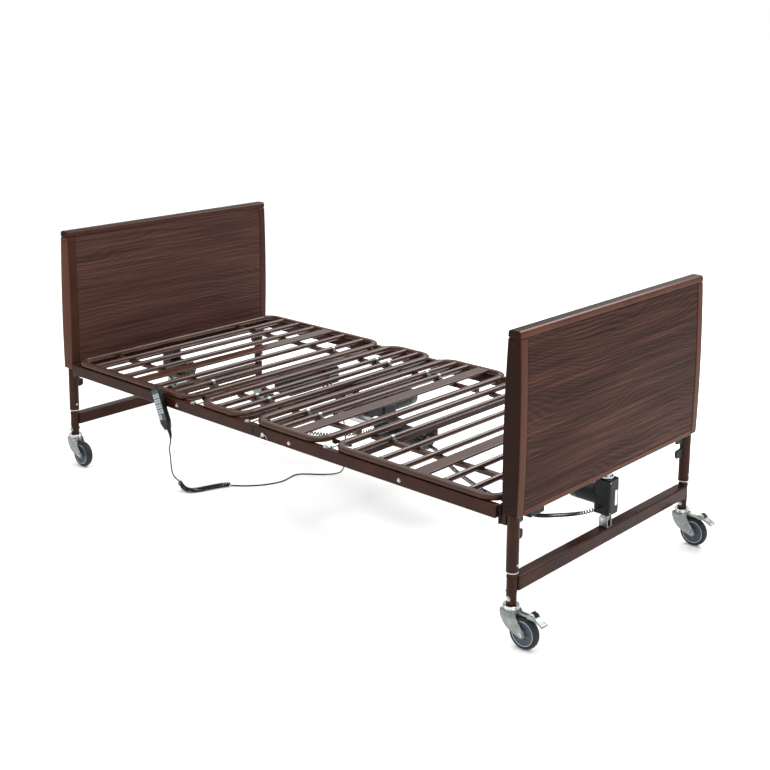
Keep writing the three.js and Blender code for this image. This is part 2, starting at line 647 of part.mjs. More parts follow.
// In the handset's own frame Z runs up its length, and -Y is the key face.
function handsetShell() {
  const halfDepth = HANDSET.depth / 2;
  const halfWidth = HANDSET.width / 2;
  const outline = polygon([
    [-halfWidth + 4, 81],
    [-halfWidth, 77],
    [-halfWidth, -48],
    [-8, -76],
    [8, -76],
    [halfWidth, -48],
    [halfWidth, 77],
    [halfWidth - 4, 81],
  ]);
  const body = sidePlate(outline, -halfDepth, halfDepth);
  const loop = cut(block(-11, 11, 1, 7, 79, 93), block(-6, 6, 0, 8, 83, 88));
  const gland = rodZ(5, 0, 0, -84, -75, 12);
  const pockets = KEY_COLUMNS.flatMap((names, column) =>
    names.map((_, row) => {
      const x = (column ? 1 : -1) * KEY.column;
      const z = KEY.topRow - row * KEY.pitch;
      return block(
        x - KEY.width / 2 - GAP, x + KEY.width / 2 + GAP, -halfDepth - 1, -halfDepth + KEY.depth,
        z - KEY.height / 2 - GAP, z + KEY.height / 2 + GAP,
      );
    }),
  );
  const pegHole = rodY(5.5, 0, halfDepth - 5, halfDepth + 1, 21, 12);
  return cut(join(body, loop, gland), ...pockets, pegHole);
}

function handsetKey() {
  const { width, height, out } = KEY;
  const face = -HANDSET.depth / 2;
  return block(-width / 2, width / 2, face - out, face + 2.2, -height / 2, height / 2);
}

add("handset_shell", blackPlastic, handsetShell(), handset);
KEY_COLUMNS.forEach((names, column) =>
  names.forEach((name, row) => {
    const key = add(name, greyKey, handsetKey(), handset);
    key.position.set((column ? 1 : -1) * KEY.column, 0, KEY.topRow - row * KEY.pitch);
  }),
);

// ---- cords --------------------------------------------------------------------------------------

const CORD_R = 3;
const COIL_R = 9.5;
const HARNESS_R = 7;

// A cord or a curly stretch as a plain tube along a smooth curve.
function tube(points, radius, steps, sides) {
  const curve = new THREE.CatmullRomCurve3(points.map((p) => new THREE.Vector3(...p)));
  const corners = Array.from({ length: sides }, (_, i) => {
    const angle = (2 * Math.PI * i) / sides;
    return [radius * Math.cos(angle), radius * Math.sin(angle)];
  });
  return solid(new THREE.ExtrudeGeometry(polygon(corners), { steps, extrudePath: curve, bevelEnabled: false }));
}

// The handset's lead hangs to the floor, its curly part lies there, and the rest runs under the bed
// and up to the back motor.
const HANDSET_LEAD = [
  [-424.3, -552.25, 304.4],
  [-421, -552, 296],
  [-422, -550, 284],
  [-434, -542, 255],
  [-463, -524, 222],
  [-483, -505, 186],
  [-501, -488, 148],
  [-521, -469, 112],
  [-538, -450, 82],
  [-547, -432, 60],
  [-550.4, -417, 46],
  [-551.6, -409.4, 39],
];
const HANDSET_COIL = [
  [-551.8, -407.8, 37.4],
  [-550.5, -403, 27],
  [-543, -401, 18],
  [-527, -401, 12.5],
  [-504, -394, 10.4],
  [-486, -361, 10],
  [-476, -330, 10],
  [-467, -301, 10],
  [-454, -267, 10],
  [-441, -247, 10],
];
const HANDSET_TAIL = [
  [-440.3, -246, 5],
  [-434, -237, 3.8],
  [-416, -223, 3.2],
  [-391, -200, 3.2],
  [-362, -163, 3.2],
  [-341, -122, 3.2],
  [-329, -75, 3.2],
  [-337, -26, 3.2],
  [-341, 14, 3.2],
  [-313, 47, 3.2],
  [-273, 78, 3.5],
  [-238, 112, 4.8],
  [-214, 124, 13],
  [-186, 117, 36],
  [-163, 104, 80],
  [-150, 94, 140],
  [-145, 86, 200],
  [-144, 76, 260],
  [-142, 67, 310],
  [-134, 62.5, 336],
  [-122, 62, 345],
  [-112.4, 62, 345],
];
const FOOT_LIFT_CORD = [
  [1080, -390, 366],
  [1078, -374, 358],
  [1072, -335, 342],
  [1066, -292, 327],
  [1062, -250, 314],
  [1060, -205, 301],
  [1060, -160, 289],
  [1064, -115, 280],
  [1072, -80, 277],
  [1082, -55, 279],
  [1086, -32, 281],
];
const DECK_LINK_CORD = [
  [-260, -232, 378],
  [-225, -262, 368],
  [-180, -308, 360],
  [-130, -348, 362],
  [-80, -366, 367],
  [-30, -366, 368],
  [30, -350, 368],
  [80, -316, 360],
  [120, -262, 350],
  [155, -196, 344],
  [176, -140, 344],
  [179, -115, 345],
  [180, -91.5, 345],
];
const FOOT_HARNESS_CORD = [
  [366, -83.8, 345],
  [368, -97, 347],
  [392, -110, 353],
  [440, -122, 356],
  [500, -142, 356],
  [570, -188, 354],
  [640, -230, 355],
  [710, -270, 358],
  [790, -312, 363],
  [860, -345, 367],
  [930, -362, 368],
  [1000, -372, 366],
  [1060, -388, 366],
];

add("handset_cord_lead", cordJacket, tube(HANDSET_LEAD, CORD_R, 24, 8));
add("handset_cord_coil", cordJacket, tube(HANDSET_COIL, COIL_R, 14, 10));
add("handset_cord_tail", cordJacket, tube(HANDSET_TAIL, CORD_R, 60, 8));
add("foot_lift_cord", cordJacket, tube(FOOT_LIFT_CORD, HARNESS_R, 14, 8));
add("deck_link_cord", cordJacket, tube(DECK_LINK_CORD, HARNESS_R, 18, 8));
add("foot_harness_cord", cordJacket, tube(FOOT_HARNESS_CORD, HARNESS_R, 24, 8));

// The origin is the middle of the bed's footprint, on the floor: loose cords aren't counted.
const FOOTPRINT_X = 45.6;
const FOOTPRINT_Y = -13;
bed.position.set(-FOOTPRINT_X, -FOOTPRINT_Y, 0);

export default bed;
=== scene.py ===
import math

import bmesh
import bpy
import numpy as np
from mathutils import Matrix, Vector


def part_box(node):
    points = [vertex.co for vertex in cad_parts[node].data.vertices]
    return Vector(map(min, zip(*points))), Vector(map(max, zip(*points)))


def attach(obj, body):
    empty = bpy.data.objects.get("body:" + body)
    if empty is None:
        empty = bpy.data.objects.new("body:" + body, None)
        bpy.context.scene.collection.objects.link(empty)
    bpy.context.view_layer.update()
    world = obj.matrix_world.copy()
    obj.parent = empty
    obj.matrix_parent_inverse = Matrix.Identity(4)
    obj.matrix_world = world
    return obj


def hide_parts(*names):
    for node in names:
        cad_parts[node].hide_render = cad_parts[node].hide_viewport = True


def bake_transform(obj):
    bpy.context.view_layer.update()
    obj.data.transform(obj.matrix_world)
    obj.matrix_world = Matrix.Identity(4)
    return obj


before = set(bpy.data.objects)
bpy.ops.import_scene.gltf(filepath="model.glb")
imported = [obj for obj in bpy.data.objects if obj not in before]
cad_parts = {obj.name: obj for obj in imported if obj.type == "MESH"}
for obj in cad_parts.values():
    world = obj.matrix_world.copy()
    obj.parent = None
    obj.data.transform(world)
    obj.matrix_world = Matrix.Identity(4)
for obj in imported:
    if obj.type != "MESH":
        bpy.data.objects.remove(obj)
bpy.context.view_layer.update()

# The looks of an adjustable home-care bed. Metres. Shapes are written in the bed's own coordinates, from
# the middle of its four legs, on the floor: +X to the foot, +Y to the patient's left, +Z up.


def middle(node):
    low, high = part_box(node)
    return (low + high) / 2


head_legs_middle = middle("head_leg_frame")
foot_legs_middle = middle("foot_leg_frame")
BED_MIDDLE = Vector(((head_legs_middle.x + foot_legs_middle.x) / 2, head_legs_middle.y, 0))
LEG_X = (foot_legs_middle.x - head_legs_middle.x) / 2
LEG_Y = middle("caster_stem_foot_left").y - BED_MIDDLE.y
ENDS = {"head": -1, "foot": 1}
SIDES = {"right": -1, "left": 1}


# ---- camera ----

CAMERA_AT = (3.149, -3.412, 1.893)
CAMERA_ANGLES = (41.83, 10.39, 0.59)  # its azimuth, elevation and roll in degrees
CAMERA_LENS = 60.9


def make_camera():
    azimuth, elevation, roll = (math.radians(angle) for angle in CAMERA_ANGLES)
    level = Vector((math.cos(azimuth), math.sin(azimuth), 0))
    away = Vector((math.sin(azimuth), -math.cos(azimuth), 0))
    back = away * math.cos(elevation) + Vector((0, 0, math.sin(elevation)))
    up = back.cross(level)
    right = level * math.cos(roll) + up * math.sin(roll)
    data = bpy.data.cameras.new("camera")
    data.lens = CAMERA_LENS
    data.sensor_width = 36
    data.shift_y = -0.2
    data.clip_end = 60
    camera = bpy.data.objects.new("camera", data)
    turn = Matrix((right, back.cross(right), back)).transposed().to_4x4()
    camera.matrix_world = Matrix.Translation(CAMERA_AT) @ turn
    bpy.context.scene.collection.objects.link(camera)
    bpy.context.scene.camera = camera


make_camera()


# ---- mesh helpers ----


class Shape:
    """The points and faces of one piece. Each face has the number of its material."""

    def __init__(self):
        self.points = []
        self.faces = []
        self.materials = []

    def add(self, points, faces, material=0):
        first = len(self.points)
        self.points += [tuple(p) for p in points]
        self.faces += [tuple(first + i for i in face) for face in faces]
        self.materials += [material] * len(faces)
        return self

    def grid(self, rows, material=0, closed=False):
        """Rows of points in rings, each joined to the next. closed joins the last row to the first;
        otherwise the first and last rows get a face."""
        count, width = len(rows), len(rows[0])
        points = [p for row in rows for p in row]
        faces = []
        for i in range(count if closed else count - 1):
            for j in range(width):
                a, b = i * width + j, i * width + (j + 1) % width
                c, d = (i + 1) % count * width + (j + 1) % width, (i + 1) % count * width + j
                faces.append((a, b, c, d))
        if not closed:
            faces.append(tuple(range(width))[::-1])
            faces.append(tuple((count - 1) * width + j for j in range(width)))
        return self.add(points, faces, material)

    def block(self, low, high, material=0):
        """A box between two corners, given in any order."""
        (x0, x1), (y0, y1), (z0, z1) = (sorted(pair) for pair in zip(low, high))
        ring = [(x0, y0), (x1, y0), (x1, y1), (x0, y1)]
        return self.grid([[(x, y, z0) for x, y in ring], [(x, y, z1) for x, y in ring]], material)

    def prism(self, outline, axis, low, high, material=0):
        """A flat outline with thickness along an axis. The outline's numbers are the other two axes."""
        place = {
            "x": lambda u, v, w: (w, u, v),
            "y": lambda u, v, w: (u, w, v),
            "z": lambda u, v, w: (u, v, w),
        }[axis]
        return self.grid([[place(u, v, w) for u, v in outline] for w in (low, high)], material)

    def lathe(self, profile, origin=(0, 0, 0), axis=(0, 0, 1), sides=48, material=0, loop=False):
        """A profile of radius and height turned about an axis. loop closes the profile on itself."""
        turn = Vector((0, 0, 1)).rotation_difference(Vector(axis)).to_matrix()
        rows = []
        for radius, height in profile:
            row = []
            for i in range(sides):
                angle = 2 * math.pi * i / sides
                point = Vector((radius * math.cos(angle), radius * math.sin(angle), height))
                row.append(Vector(origin) + turn @ point)
            rows.append(row)
        return self.grid(rows, material, closed=loop)

    def bar(self, start, end, radius, sides=32, edge=0.0006):
        """A round bar with a small chamfer at each end."""
        start, end = Vector(start), Vector(end)
        length = (end - start).length
        profile = [(radius - edge, 0), (radius, edge), (radius, length - edge), (radius - edge, length)]
        return self.lathe(profile, start, (end - start) / length, sides)

    def sweep(self, path, section, up=None, closed=False):
        """A section of sideways and upward offsets carried along a path."""
        rows = []
        for point, side, lift in frames_along(path, up, closed):
            rows.append([point + side * s + lift * t for s, t in section])
        return self.grid(rows, closed=closed)


def frames_along(path, up=None, closed=False):
    """Each point of a path with a sideways and an upward direction, which turn as little as they can."""
    points = [Vector(p) for p in path]
    count = len(points)
    lift = Vector(up) if up else None
    found = []
    for i, point in enumerate(points):
        before = points[i - 1] if closed or i else point
        after = points[(i + 1) % count] if closed or i < count - 1 else point
        along = (after - before).normalized()
        if lift is None:
            lift = along.orthogonal().normalized()
        reference = Vector(up) if up else lift
        side = along.cross(reference).normalized()
        lift = side.cross(along).normalized()
        found.append((point, side, lift))
    return found


def circle(radius, sides):
    angles = [2 * math.pi * i / sides for i in range(sides)]
    return [(radius * math.cos(a), radius * math.sin(a)) for a in angles]


def arc(middle, radius, start, end, count):
    """Points on a circle about a middle, from one angle to another."""
    angles = np.linspace(start, end, count)
    return [(middle[0] + radius * math.cos(a), middle[1] + radius * math.sin(a)) for a in angles]


def rounded(half_width, half_height, radius, steps=4):
    """A rectangle with round corners, as offsets from its middle."""
    corners = [(1, -1, -90), (1, 1, 0), (-1, 1, 90), (-1, -1, 180)]
    outline = []
    for sx, sy, start in corners:
        for i in range(steps + 1):
            angle = math.radians(start + 90 * i / steps)
            u = sx * (half_width - radius) + radius * math.cos(angle)
            v = sy * (half_height - radius) + radius * math.sin(angle)
            outline.append((u, v))
    return outline


def smooth_route(route, step):
    """A smooth curve through given points (a centripetal Catmull-Rom spline), with even steps."""
    points = [np.array(p, float) for p in route]
    points = [2 * points[0] - points[1]] + points + [2 * points[-1] - points[-2]]
    dense = []
    for a, b, c, d in zip(points, points[1:], points[2:], points[3:]):
        knots = np.cumsum([0] + [np.linalg.norm(q - p) ** 0.5 for p, q in ((a, b), (b, c), (c, d))])
        for t in np.linspace(knots[1], knots[2], 24, endpoint=False):
            level = [a, b, c, d]
            for width in (1, 2, 3):
                level = [
                    (p * (knots[i + width] - t) + q * (t - knots[i])) / (knots[i + width] - knots[i])
                    for i, (p, q) in enumerate(zip(level, level[1:]))
                ]
            dense.append(level[0])
    dense.append(points[-2])
    dense = np.array(dense)
    along = np.concatenate([[0], np.cumsum(np.linalg.norm(np.diff(dense, axis=0), axis=1))])
    at = np.linspace(0, along[-1], math.ceil(along[-1] / step) + 1)
    return [Vector(p) for p in np.stack([np.interp(at, along, dense[:, k]) for k in range(3)], axis=1)]


def shifted(point):
    """A point of the bed in the frame's coordinates."""
    return Vector(point) + BED_MIDDLE


BEVEL_FROM, SHARP_FROM = math.radians(35), math.radians(38)


def make_object(name, shape, materials, edge=0.0, steps=2):
    """Makes a shape an object. edge rounds its corners by that much, in that many steps."""
    mesh = bpy.data.meshes.new(name)
    mesh.from_pydata([shifted(p) for p in shape.points], [], shape.faces)
    for material in materials:
        mesh.materials.append(material)
    mesh.polygons.foreach_set("material_index", shape.materials)
    mesh.polygons.foreach_set("use_smooth", [True] * len(mesh.polygons))
    outward = bmesh.new()
    outward.from_mesh(mesh)
    bmesh.ops.recalc_face_normals(outward, faces=outward.faces)
    outward.to_mesh(mesh)
    outward.free()
    obj = bpy.data.objects.new(name, mesh)
    bpy.context.scene.collection.objects.link(obj)
    if edge:
        bevel = obj.modifiers.new("edges", "BEVEL")
        bevel.width = edge
        bevel.segments = steps
        bevel.limit_method = "ANGLE"
        bevel.angle_limit = BEVEL_FROM
        bevel.use_clamp_overlap = True
    else:
        mesh.set_sharp_from_angle(angle=SHARP_FROM)
    obj.modifiers.new("shading", "WEIGHTED_NORMAL").keep_sharp = True
    return obj


def piece(name, shape, materials, body="bed_frame", replaces=(), edge=0.0, steps=2):
    """A visual piece that rides on a CAD body, or, given two bodies, stays where it is drawn. It stands
    for the CAD nodes that it replaces, and hides them."""
    materials = materials if isinstance(materials, list) else [materials]
    obj = make_object(name, shape, materials, edge, steps)
    if isinstance(body, str):
        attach(obj, body)
    else:
        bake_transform(obj)
    if replaces:
        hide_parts(*replaces)
    return obj


# ---- materials ----


def rgb(code):
    """A colour such as 4b302a as the shader's linear values."""
    parts = [int(code[i : i + 2], 16) / 255 for i in (0, 2, 4)]
    return tuple(c / 12.92 if c <= 0.04045 else ((c + 0.055) / 1.055) ** 2.4 for c in parts) + (1,)


def add_node(tree, kind, inputs, **settings):
    """A node with each input set to a value, or linked when it is given another node's output."""
    node = tree.nodes.new("ShaderNode" + kind)
    for key, value in settings.items():
        setattr(node, key, value)
    for key, value in inputs.items():
        set_input(tree, node.inputs[key], value)
    return node


def set_input(tree, socket, value):
    if isinstance(value, bpy.types.NodeSocket):
        tree.links.new(value, socket)
    else:
        socket.default_value = value


WHITE = (1, 1, 1, 1)


class Surface:
    """A material's node tree, with short ways to add the nodes that every finish here uses."""

    def __init__(self, name, roughness, metallic=0.0, coat=0.0, gloss=0.5):
        self.material = bpy.data.materials.new(name)
        self.material.use_nodes = True
        self.tree = self.material.node_tree
        self.shader = self.tree.nodes["Principled BSDF"]
        self.place = self.node("TexCoord").outputs["Object"]
        self.height = None
        self.set({"Roughness": roughness, "Metallic": metallic, "Specular IOR Level": gloss})
        self.set({"Coat Weight": coat, "Coat Roughness": 0.15})

    def set(self, inputs):
        for key, value in inputs.items():
            set_input(self.tree, self.shader.inputs[key], value)

    def node(self, kind, inputs=(), **settings):
        return add_node(self.tree, kind, dict(inputs), **settings)

    def stretched(self, scale):
        return self.node("Mapping", {"Scale": scale, "Vector": self.place}).outputs["Vector"]

    def noise(self, scale, detail=4, stretch=(1, 1, 1), distortion=0.0):
        inputs = {"Scale": scale, "Detail": detail, "Distortion": distortion}
        inputs["Vector"] = self.stretched(stretch)
        return self.node("TexNoise", inputs).outputs["Fac"]

    def shades(self, value, places, colors):
        """Colours along a value, each at its place."""
        node = self.node("ValToRGB", {"Fac": value})
        ramp = node.color_ramp
        while len(ramp.elements) < len(colors):
            ramp.elements.new(0.5)
        for element, place, color in zip(ramp.elements, places, colors):
            element.position = place
            element.color = color
        return node.outputs["Color"]

    def mix(self, a, b, amount, kind="MIX"):
        """One colour over another. A mix node's sockets for colours go by number: 6 and 7 in, 2 out."""
        node = self.node("Mix", {0: amount, 6: a, 7: b}, data_type="RGBA", blend_type=kind)
        return node.outputs[2]

    def spread(self, value, low, high):
        """The middle of a value's range, 0.3 to 0.7, drawn out to between low and high."""
        inputs = {"From Min": 0.3, "From Max": 0.7, "To Min": low, "To Max": high, "Value": value}
        return self.node("MapRange", inputs).outputs["Result"]

    def bump(self, value, depth):
        """The surface's fine relief."""
        inputs = {"Distance": depth, "Strength": 1.0, "Height": value}
        self.height = self.node("Bump", inputs).outputs["Normal"]

    def finish(self, color, roughness=None):
        self.set({"Base Color": color})
        if roughness:
            self.set({"Roughness": roughness})
        if self.height:
            self.set({"Normal": self.height})
        return self.material


def coated(name, dark, light, roughness, grain, depth, stretch=(1, 1, 1), patch=9, **shine):
    """A finish that drifts between two colours in soft patches, with a fine grain in its surface. grain is
    the grain's scale, depth its height and patch the patches' scale."""
    surface = Surface(name, roughness, **shine)
    patches = surface.noise(patch, 5, stretch)
    fine = surface.noise(grain, 2, stretch)
    color = surface.shades(patches, (0.3, 0.7), (rgb(dark), rgb(light)))
    surface.bump(fine, depth)
    return surface.finish(color, surface.spread(patches, roughness * 0.82, roughness * 1.2))


def walnut(name, dark, mid, light, vein):
    """Walnut laminate with its grain across the bed: growth rings drawn out into flames, broken up by
    broad patches and fine pores."""
    surface = Surface(name, 0.5, gloss=0.06)
    tones = [rgb(dark), rgb(mid), rgb(light)]
    drift = surface.noise(2.1, 2, (1, 0.6, 1.5))
    pushed = surface.node("VectorMath", {0: drift, 1: (0, 0, 0.3)}, operation="MULTIPLY").outputs[0]
    along = surface.stretched((1, 0.16, 1))
    bent = surface.node("VectorMath", {0: along, 1: pushed}, operation="ADD").outputs[0]
    wave = {"Scale": 24, "Distortion": 3.4, "Detail": 5, "Detail Scale": 0.9, "Vector": bent}
    rings = surface.node("TexWave", wave, bands_direction="Z").outputs["Fac"]
    lines = surface.shades(rings, (0.0, 0.35, 0.9), tones)
    broad = surface.shades(surface.noise(5, 5, (1, 0.3, 3), 0.8), (0.32, 0.5, 0.68), tones)
    drawn = surface.shades(surface.noise(24, 5, (1, 0.09, 5), 0.35), (0.34, 0.5, 0.64), tones)
    color = surface.mix(surface.mix(broad, lines, 0.42), drawn, 0.46)
    fibres = surface.noise(60, 5, (1, 0.04, 8), 0.2)
    pores = surface.shades(fibres, (0.37, 0.5), (rgb(vein), WHITE))
    color = surface.mix(color, pores, 0.55, "MULTIPLY")
    surface.bump(fibres, 0.0001)
    return surface.finish(color, surface.spread(fibres, 0.56, 0.44))


steel = coated("brown_steel", "27130b", "371d12", 0.24, 900, 0.00004, coat=0.16, gloss=0.04)
laminate = walnut("walnut_laminate", "1b100d", "38211b", "5a3a2e", "745448")
# Painted light: a lighter, glossier copy of the brown steel, for the deck that the top light falls on.
painted_light_deck_steel = coated("brown_steel_painted_light_deck", "301c14", "40291e", 0.26, 900, 0.00004, coat=0.26, gloss=0.12)
# Painted light: a paler, flatter copy of the walnut for the head end, standing for how light falls there.
painted_light_head_laminate = walnut("walnut_laminate_painted_light_head", "2b1b18", "3f2924", "513730", "8a6c62")
edging = coated("brown_edging", "452417", "54301f", 0.34, 500, 0.00006, (1, 1, 0.2), coat=0.12, gloss=0.05)
# Painted shade: a darker copy of the edging, for the head end's post fronts, cap band and bottom rail.
painted_shade_edging = coated("brown_edging_painted_shade", "2f1a13", "3a2119", 0.36, 500, 0.00006, coat=0.1, gloss=0.05)
# Painted shade: the deepest copy of the edging, for the foot posts' sides and both caps' tops and ends.
deep_painted_shade_edging = coated("brown_edging_deep_painted_shade", "1d0e0a", "26130d", 0.42, 500, 0.00006, coat=0.04, gloss=0.05)
zinc = coated("zinc_plate", "6c716f", "939893", 0.36, 260, 0.00008, metallic=1.0, patch=40)
bolt_steel = coated("bolt_steel", "9b9e9d", "c4c6c4", 0.26, 320, 0.00004, metallic=1.0, patch=60)
chrome = coated("chrome", "b4b7b9", "d6d8d9", 0.1, 200, 0.00001, metallic=1.0)
rubber = coated("tyre_rubber", "191c1e", "272b2d", 0.6, 420, 0.00012, gloss=0.25)
hub_grey = coated("hub_plastic", "36404a", "47535e", 0.42, 600, 0.00004, gloss=0.3)
black = coated("black_plastic", "080809", "101112", 0.42, 1100, 0.00006, gloss=0.2)
black_gloss = coated("black_gloss", "060607", "0c0c0e", 0.2, 700, 0.00002, coat=0.25, gloss=0.25)
panel_grey = coated("silver_panel", "959da3", "a9b0b5", 0.4, 900, 0.00003, metallic=0.2, gloss=0.3)
key_grey = coated("grey_key", "2c343b", "39424a", 0.5, 900, 0.00003, gloss=0.3)
aluminium = coated("aluminium", "a4a8a9", "c6cacb", 0.26, 300, 0.00003, (1, 1, 0.1), metallic=1.0)
jacket = coated("cord_jacket", "09090a", "131415", 0.5, 1500, 0.00005, gloss=0.25)
nylon = coated("white_nylon", "cfcfcb", "e6e6e2", 0.45, 700, 0.00003)
# Painted shade for recesses, the screws' crosses and the mains inlet's opening; also the print of the key
# marks.
painted_recess_shade_and_print = coated("painted_recess_shade_and_key_print", "040404", "090808", 0.8, 300, 0.00002, gloss=0.1)


# ---- cords ----

CORD = 0.005
COIL_R, COIL_PITCH = 0.007, 0.0064
HARNESS_WIRE = 0.0042
HARNESS_COIL_R, HARNESS_PITCH = 0.0048, 0.0108
HANDSET_LEAD = [
    (-0.4243, -0.55225, 0.3044), (-0.421, -0.552, 0.296), (-0.422, -0.55, 0.284),
    (-0.434, -0.542, 0.255), (-0.463, -0.524, 0.222), (-0.483, -0.505, 0.186),
    (-0.501, -0.488, 0.148), (-0.521, -0.469, 0.112), (-0.538, -0.45, 0.082),
    (-0.547, -0.432, 0.06), (-0.5504, -0.417, 0.046), (-0.5516, -0.4094, 0.039),
]
HANDSET_GLAND = (-0.4286, -0.55225, 0.3137)
HANDSET_COIL = [
    (-0.5518, -0.4078, 0.0374), (-0.5505, -0.403, 0.027), (-0.543, -0.401, 0.018),
    (-0.527, -0.401, 0.0125), (-0.504, -0.394, 0.0104), (-0.486, -0.361, 0.01),
    (-0.476, -0.33, 0.01), (-0.467, -0.301, 0.01), (-0.454, -0.267, 0.01),
    (-0.441, -0.247, 0.01),
]
HANDSET_TAIL = [
    (-0.4403, -0.246, 0.005), (-0.434, -0.237, 0.0038), (-0.416, -0.223, 0.0032),
    (-0.391, -0.2, 0.0032), (-0.362, -0.163, 0.0032), (-0.341, -0.122, 0.0032),
    (-0.329, -0.075, 0.0032), (-0.337, -0.026, 0.0032), (-0.341, 0.014, 0.0032),
    (-0.313, 0.047, 0.0032), (-0.273, 0.078, 0.0035), (-0.238, 0.112, 0.0048),
    (-0.214, 0.124, 0.013), (-0.186, 0.117, 0.036), (-0.163, 0.104, 0.08),
    (-0.15, 0.094, 0.14), (-0.145, 0.086, 0.2), (-0.144, 0.076, 0.26),
    (-0.142, 0.067, 0.31), (-0.134, 0.0625, 0.336), (-0.122, 0.062, 0.345),
    (-0.1124, 0.062, 0.345),
]
FOOT_LIFT_CORD = [
    (1.08, -0.39, 0.366), (1.078, -0.374, 0.358), (1.072, -0.335, 0.342),
    (1.066, -0.292, 0.327), (1.062, -0.25, 0.314), (1.06, -0.205, 0.301),
    (1.06, -0.16, 0.289), (1.064, -0.115, 0.28), (1.072, -0.08, 0.277),
    (1.082, -0.055, 0.279), (1.086, -0.032, 0.281),
]
DECK_LINK_CORD = [
    (-0.26, -0.232, 0.378), (-0.225, -0.262, 0.368), (-0.18, -0.308, 0.36),
    (-0.13, -0.348, 0.362), (-0.08, -0.366, 0.367), (-0.03, -0.366, 0.368),
    (0.03, -0.35, 0.368), (0.08, -0.316, 0.36), (0.12, -0.262, 0.35),
    (0.155, -0.196, 0.344), (0.176, -0.14, 0.344), (0.179, -0.115, 0.345),
    (0.18, -0.0915, 0.345),
]
FOOT_HARNESS_CORD = [
    (0.366, -0.0838, 0.345), (0.368, -0.097, 0.347), (0.392, -0.11, 0.353),
    (0.44, -0.122, 0.356), (0.5, -0.142, 0.356), (0.57, -0.188, 0.354),
    (0.64, -0.23, 0.355), (0.71, -0.27, 0.358), (0.79, -0.312, 0.363),
    (0.86, -0.345, 0.367), (0.93, -0.362, 0.368), (1.0, -0.372, 0.366),
    (1.06, -0.388, 0.366),
]


STEPS_PER_TURN = 12


def helix(route, radius, pitch, straight=0):
    """A curly cord's centreline: turns about a route. It leaves that many turns at each end straight, then
    opens out over one turn more."""
    steps = smooth_route(route, pitch / STEPS_PER_TURN)
    last = len(steps) - 1
    points = []
    for i, (point, side, lift) in enumerate(frames_along(steps)):
        angle = 2 * math.pi * i / STEPS_PER_TURN
        opening = max(0, min(1, min(i, last - i) / STEPS_PER_TURN - straight))
        reach = radius * opening * opening * (3 - 2 * opening)
        points.append(point + side * reach * math.cos(angle) + lift * reach * math.sin(angle))
    return points


def strain_relief(name, path, length, base, tip, body="bed_frame"):
    """A ribbed sleeve along the start of a cord's path. It tapers from its base radius to its tip's."""
    run, travelled = [Vector(path[0])], 0
    for point in path[1:]:
        travelled += (Vector(point) - run[-1]).length
        run.append(Vector(point))
        if travelled >= length:
            break
    sleeve = smooth_route(run, length / 22)
    rows = []
    for i, (point, side, lift) in enumerate(frames_along(sleeve)):
        radius = base + (tip - base) * i / (len(sleeve) - 1)
        if i % 4 > 1:
            radius -= 0.0007
        rows.append([point + side * s * radius + lift * t * radius for s, t in circle(1, 20)])
    piece(name, Shape().grid(rows), black, body, edge=0.0002)


def lay_cord(name, path, thickness, body, sides=8):
    """A cord along a path, from where it leaves the object to where it goes back in."""
    shape = Shape().sweep(path, circle(thickness / 2, sides))
    obj = piece(name + "_looks", shape, jacket, body, replaces=[name])


def lay_harness(name, route, body="bed_frame"):
    """A thin curly cord between two of the bed's sockets. Gives its path, for a sleeve on it."""
    path = helix(route, HARNESS_COIL_R, HARNESS_PITCH, 1)
    lay_cord(name, path, HARNESS_WIRE, body, 6)
    return path


def between(first, second, start, end):
    """Two bodies and a point on each, in the frame's coordinates, for a cord that runs between them."""
    return first, second, shifted(start), shifted(end)


HARNESS_SLEEVE = (0.015, 0.005, 0.0026)  # its length and its radius at both ends
TAIL_FLOOR = (-0.1124, 0.062, 0.01)  # under the back motor, where the tail leaves the floor

lead_path = smooth_route(HANDSET_LEAD, 0.006)
lead_body = between("head_legs", "bed_frame", HANDSET_LEAD[-1], HANDSET_LEAD[0])
lay_cord("handset_cord_lead", lead_path, CORD, lead_body)
strain_relief("handset_relief", [HANDSET_GLAND] + lead_path, 0.036, 0.0082, 0.0036)
lay_cord("handset_cord_coil", helix(HANDSET_COIL, COIL_R, COIL_PITCH), CORD, "head_legs")
tail_path = smooth_route(HANDSET_TAIL, 0.008)
tail_body = between("head_legs", "bed_frame", TAIL_FLOOR, HANDSET_TAIL[-1])
lay_cord("handset_cord_tail", tail_path, CORD, tail_body)
strain_relief("tail_relief", tail_path[::-1], 0.02, 0.0054, 0.0034)
lift_body = between("bed_frame", "foot_legs", FOOT_LIFT_CORD[0], FOOT_LIFT_CORD[-1])
lift_path = lay_harness("foot_lift_cord", FOOT_LIFT_CORD, lift_body)
strain_relief("lift_relief", lift_path[::-1], *HARNESS_SLEEVE, "foot_legs")
link_path = lay_harness("deck_link_cord", DECK_LINK_CORD)
strain_relief("link_relief_at_knee_motor", link_path[::-1], *HARNESS_SLEEVE)
harness_path = lay_harness("foot_harness_cord", FOOT_HARNESS_CORD)
strain_relief("harness_relief_at_knee_motor", harness_path, *HARNESS_SLEEVE)


# ---- bed ends ----

BOARD_BOTTOM, BOARD_TOP = 0.4, 0.958
BOARD_HALF = 0.525
TRIM, CAP, BOTTOM_RAIL = 0.036, 0.023, 0.018
POST_TOP = BOARD_TOP - CAP
SEAM = 0.0004  # the gap that shows between two fitted parts
BOW_STEPS = 28


def board_half(z):
    """Half the thickness of the bowed ends at a height."""
    t = (z - BOARD_BOTTOM) / (BOARD_TOP - BOARD_BOTTOM)
    return 0.027 + 0.021 * t - 0.026 * t * t


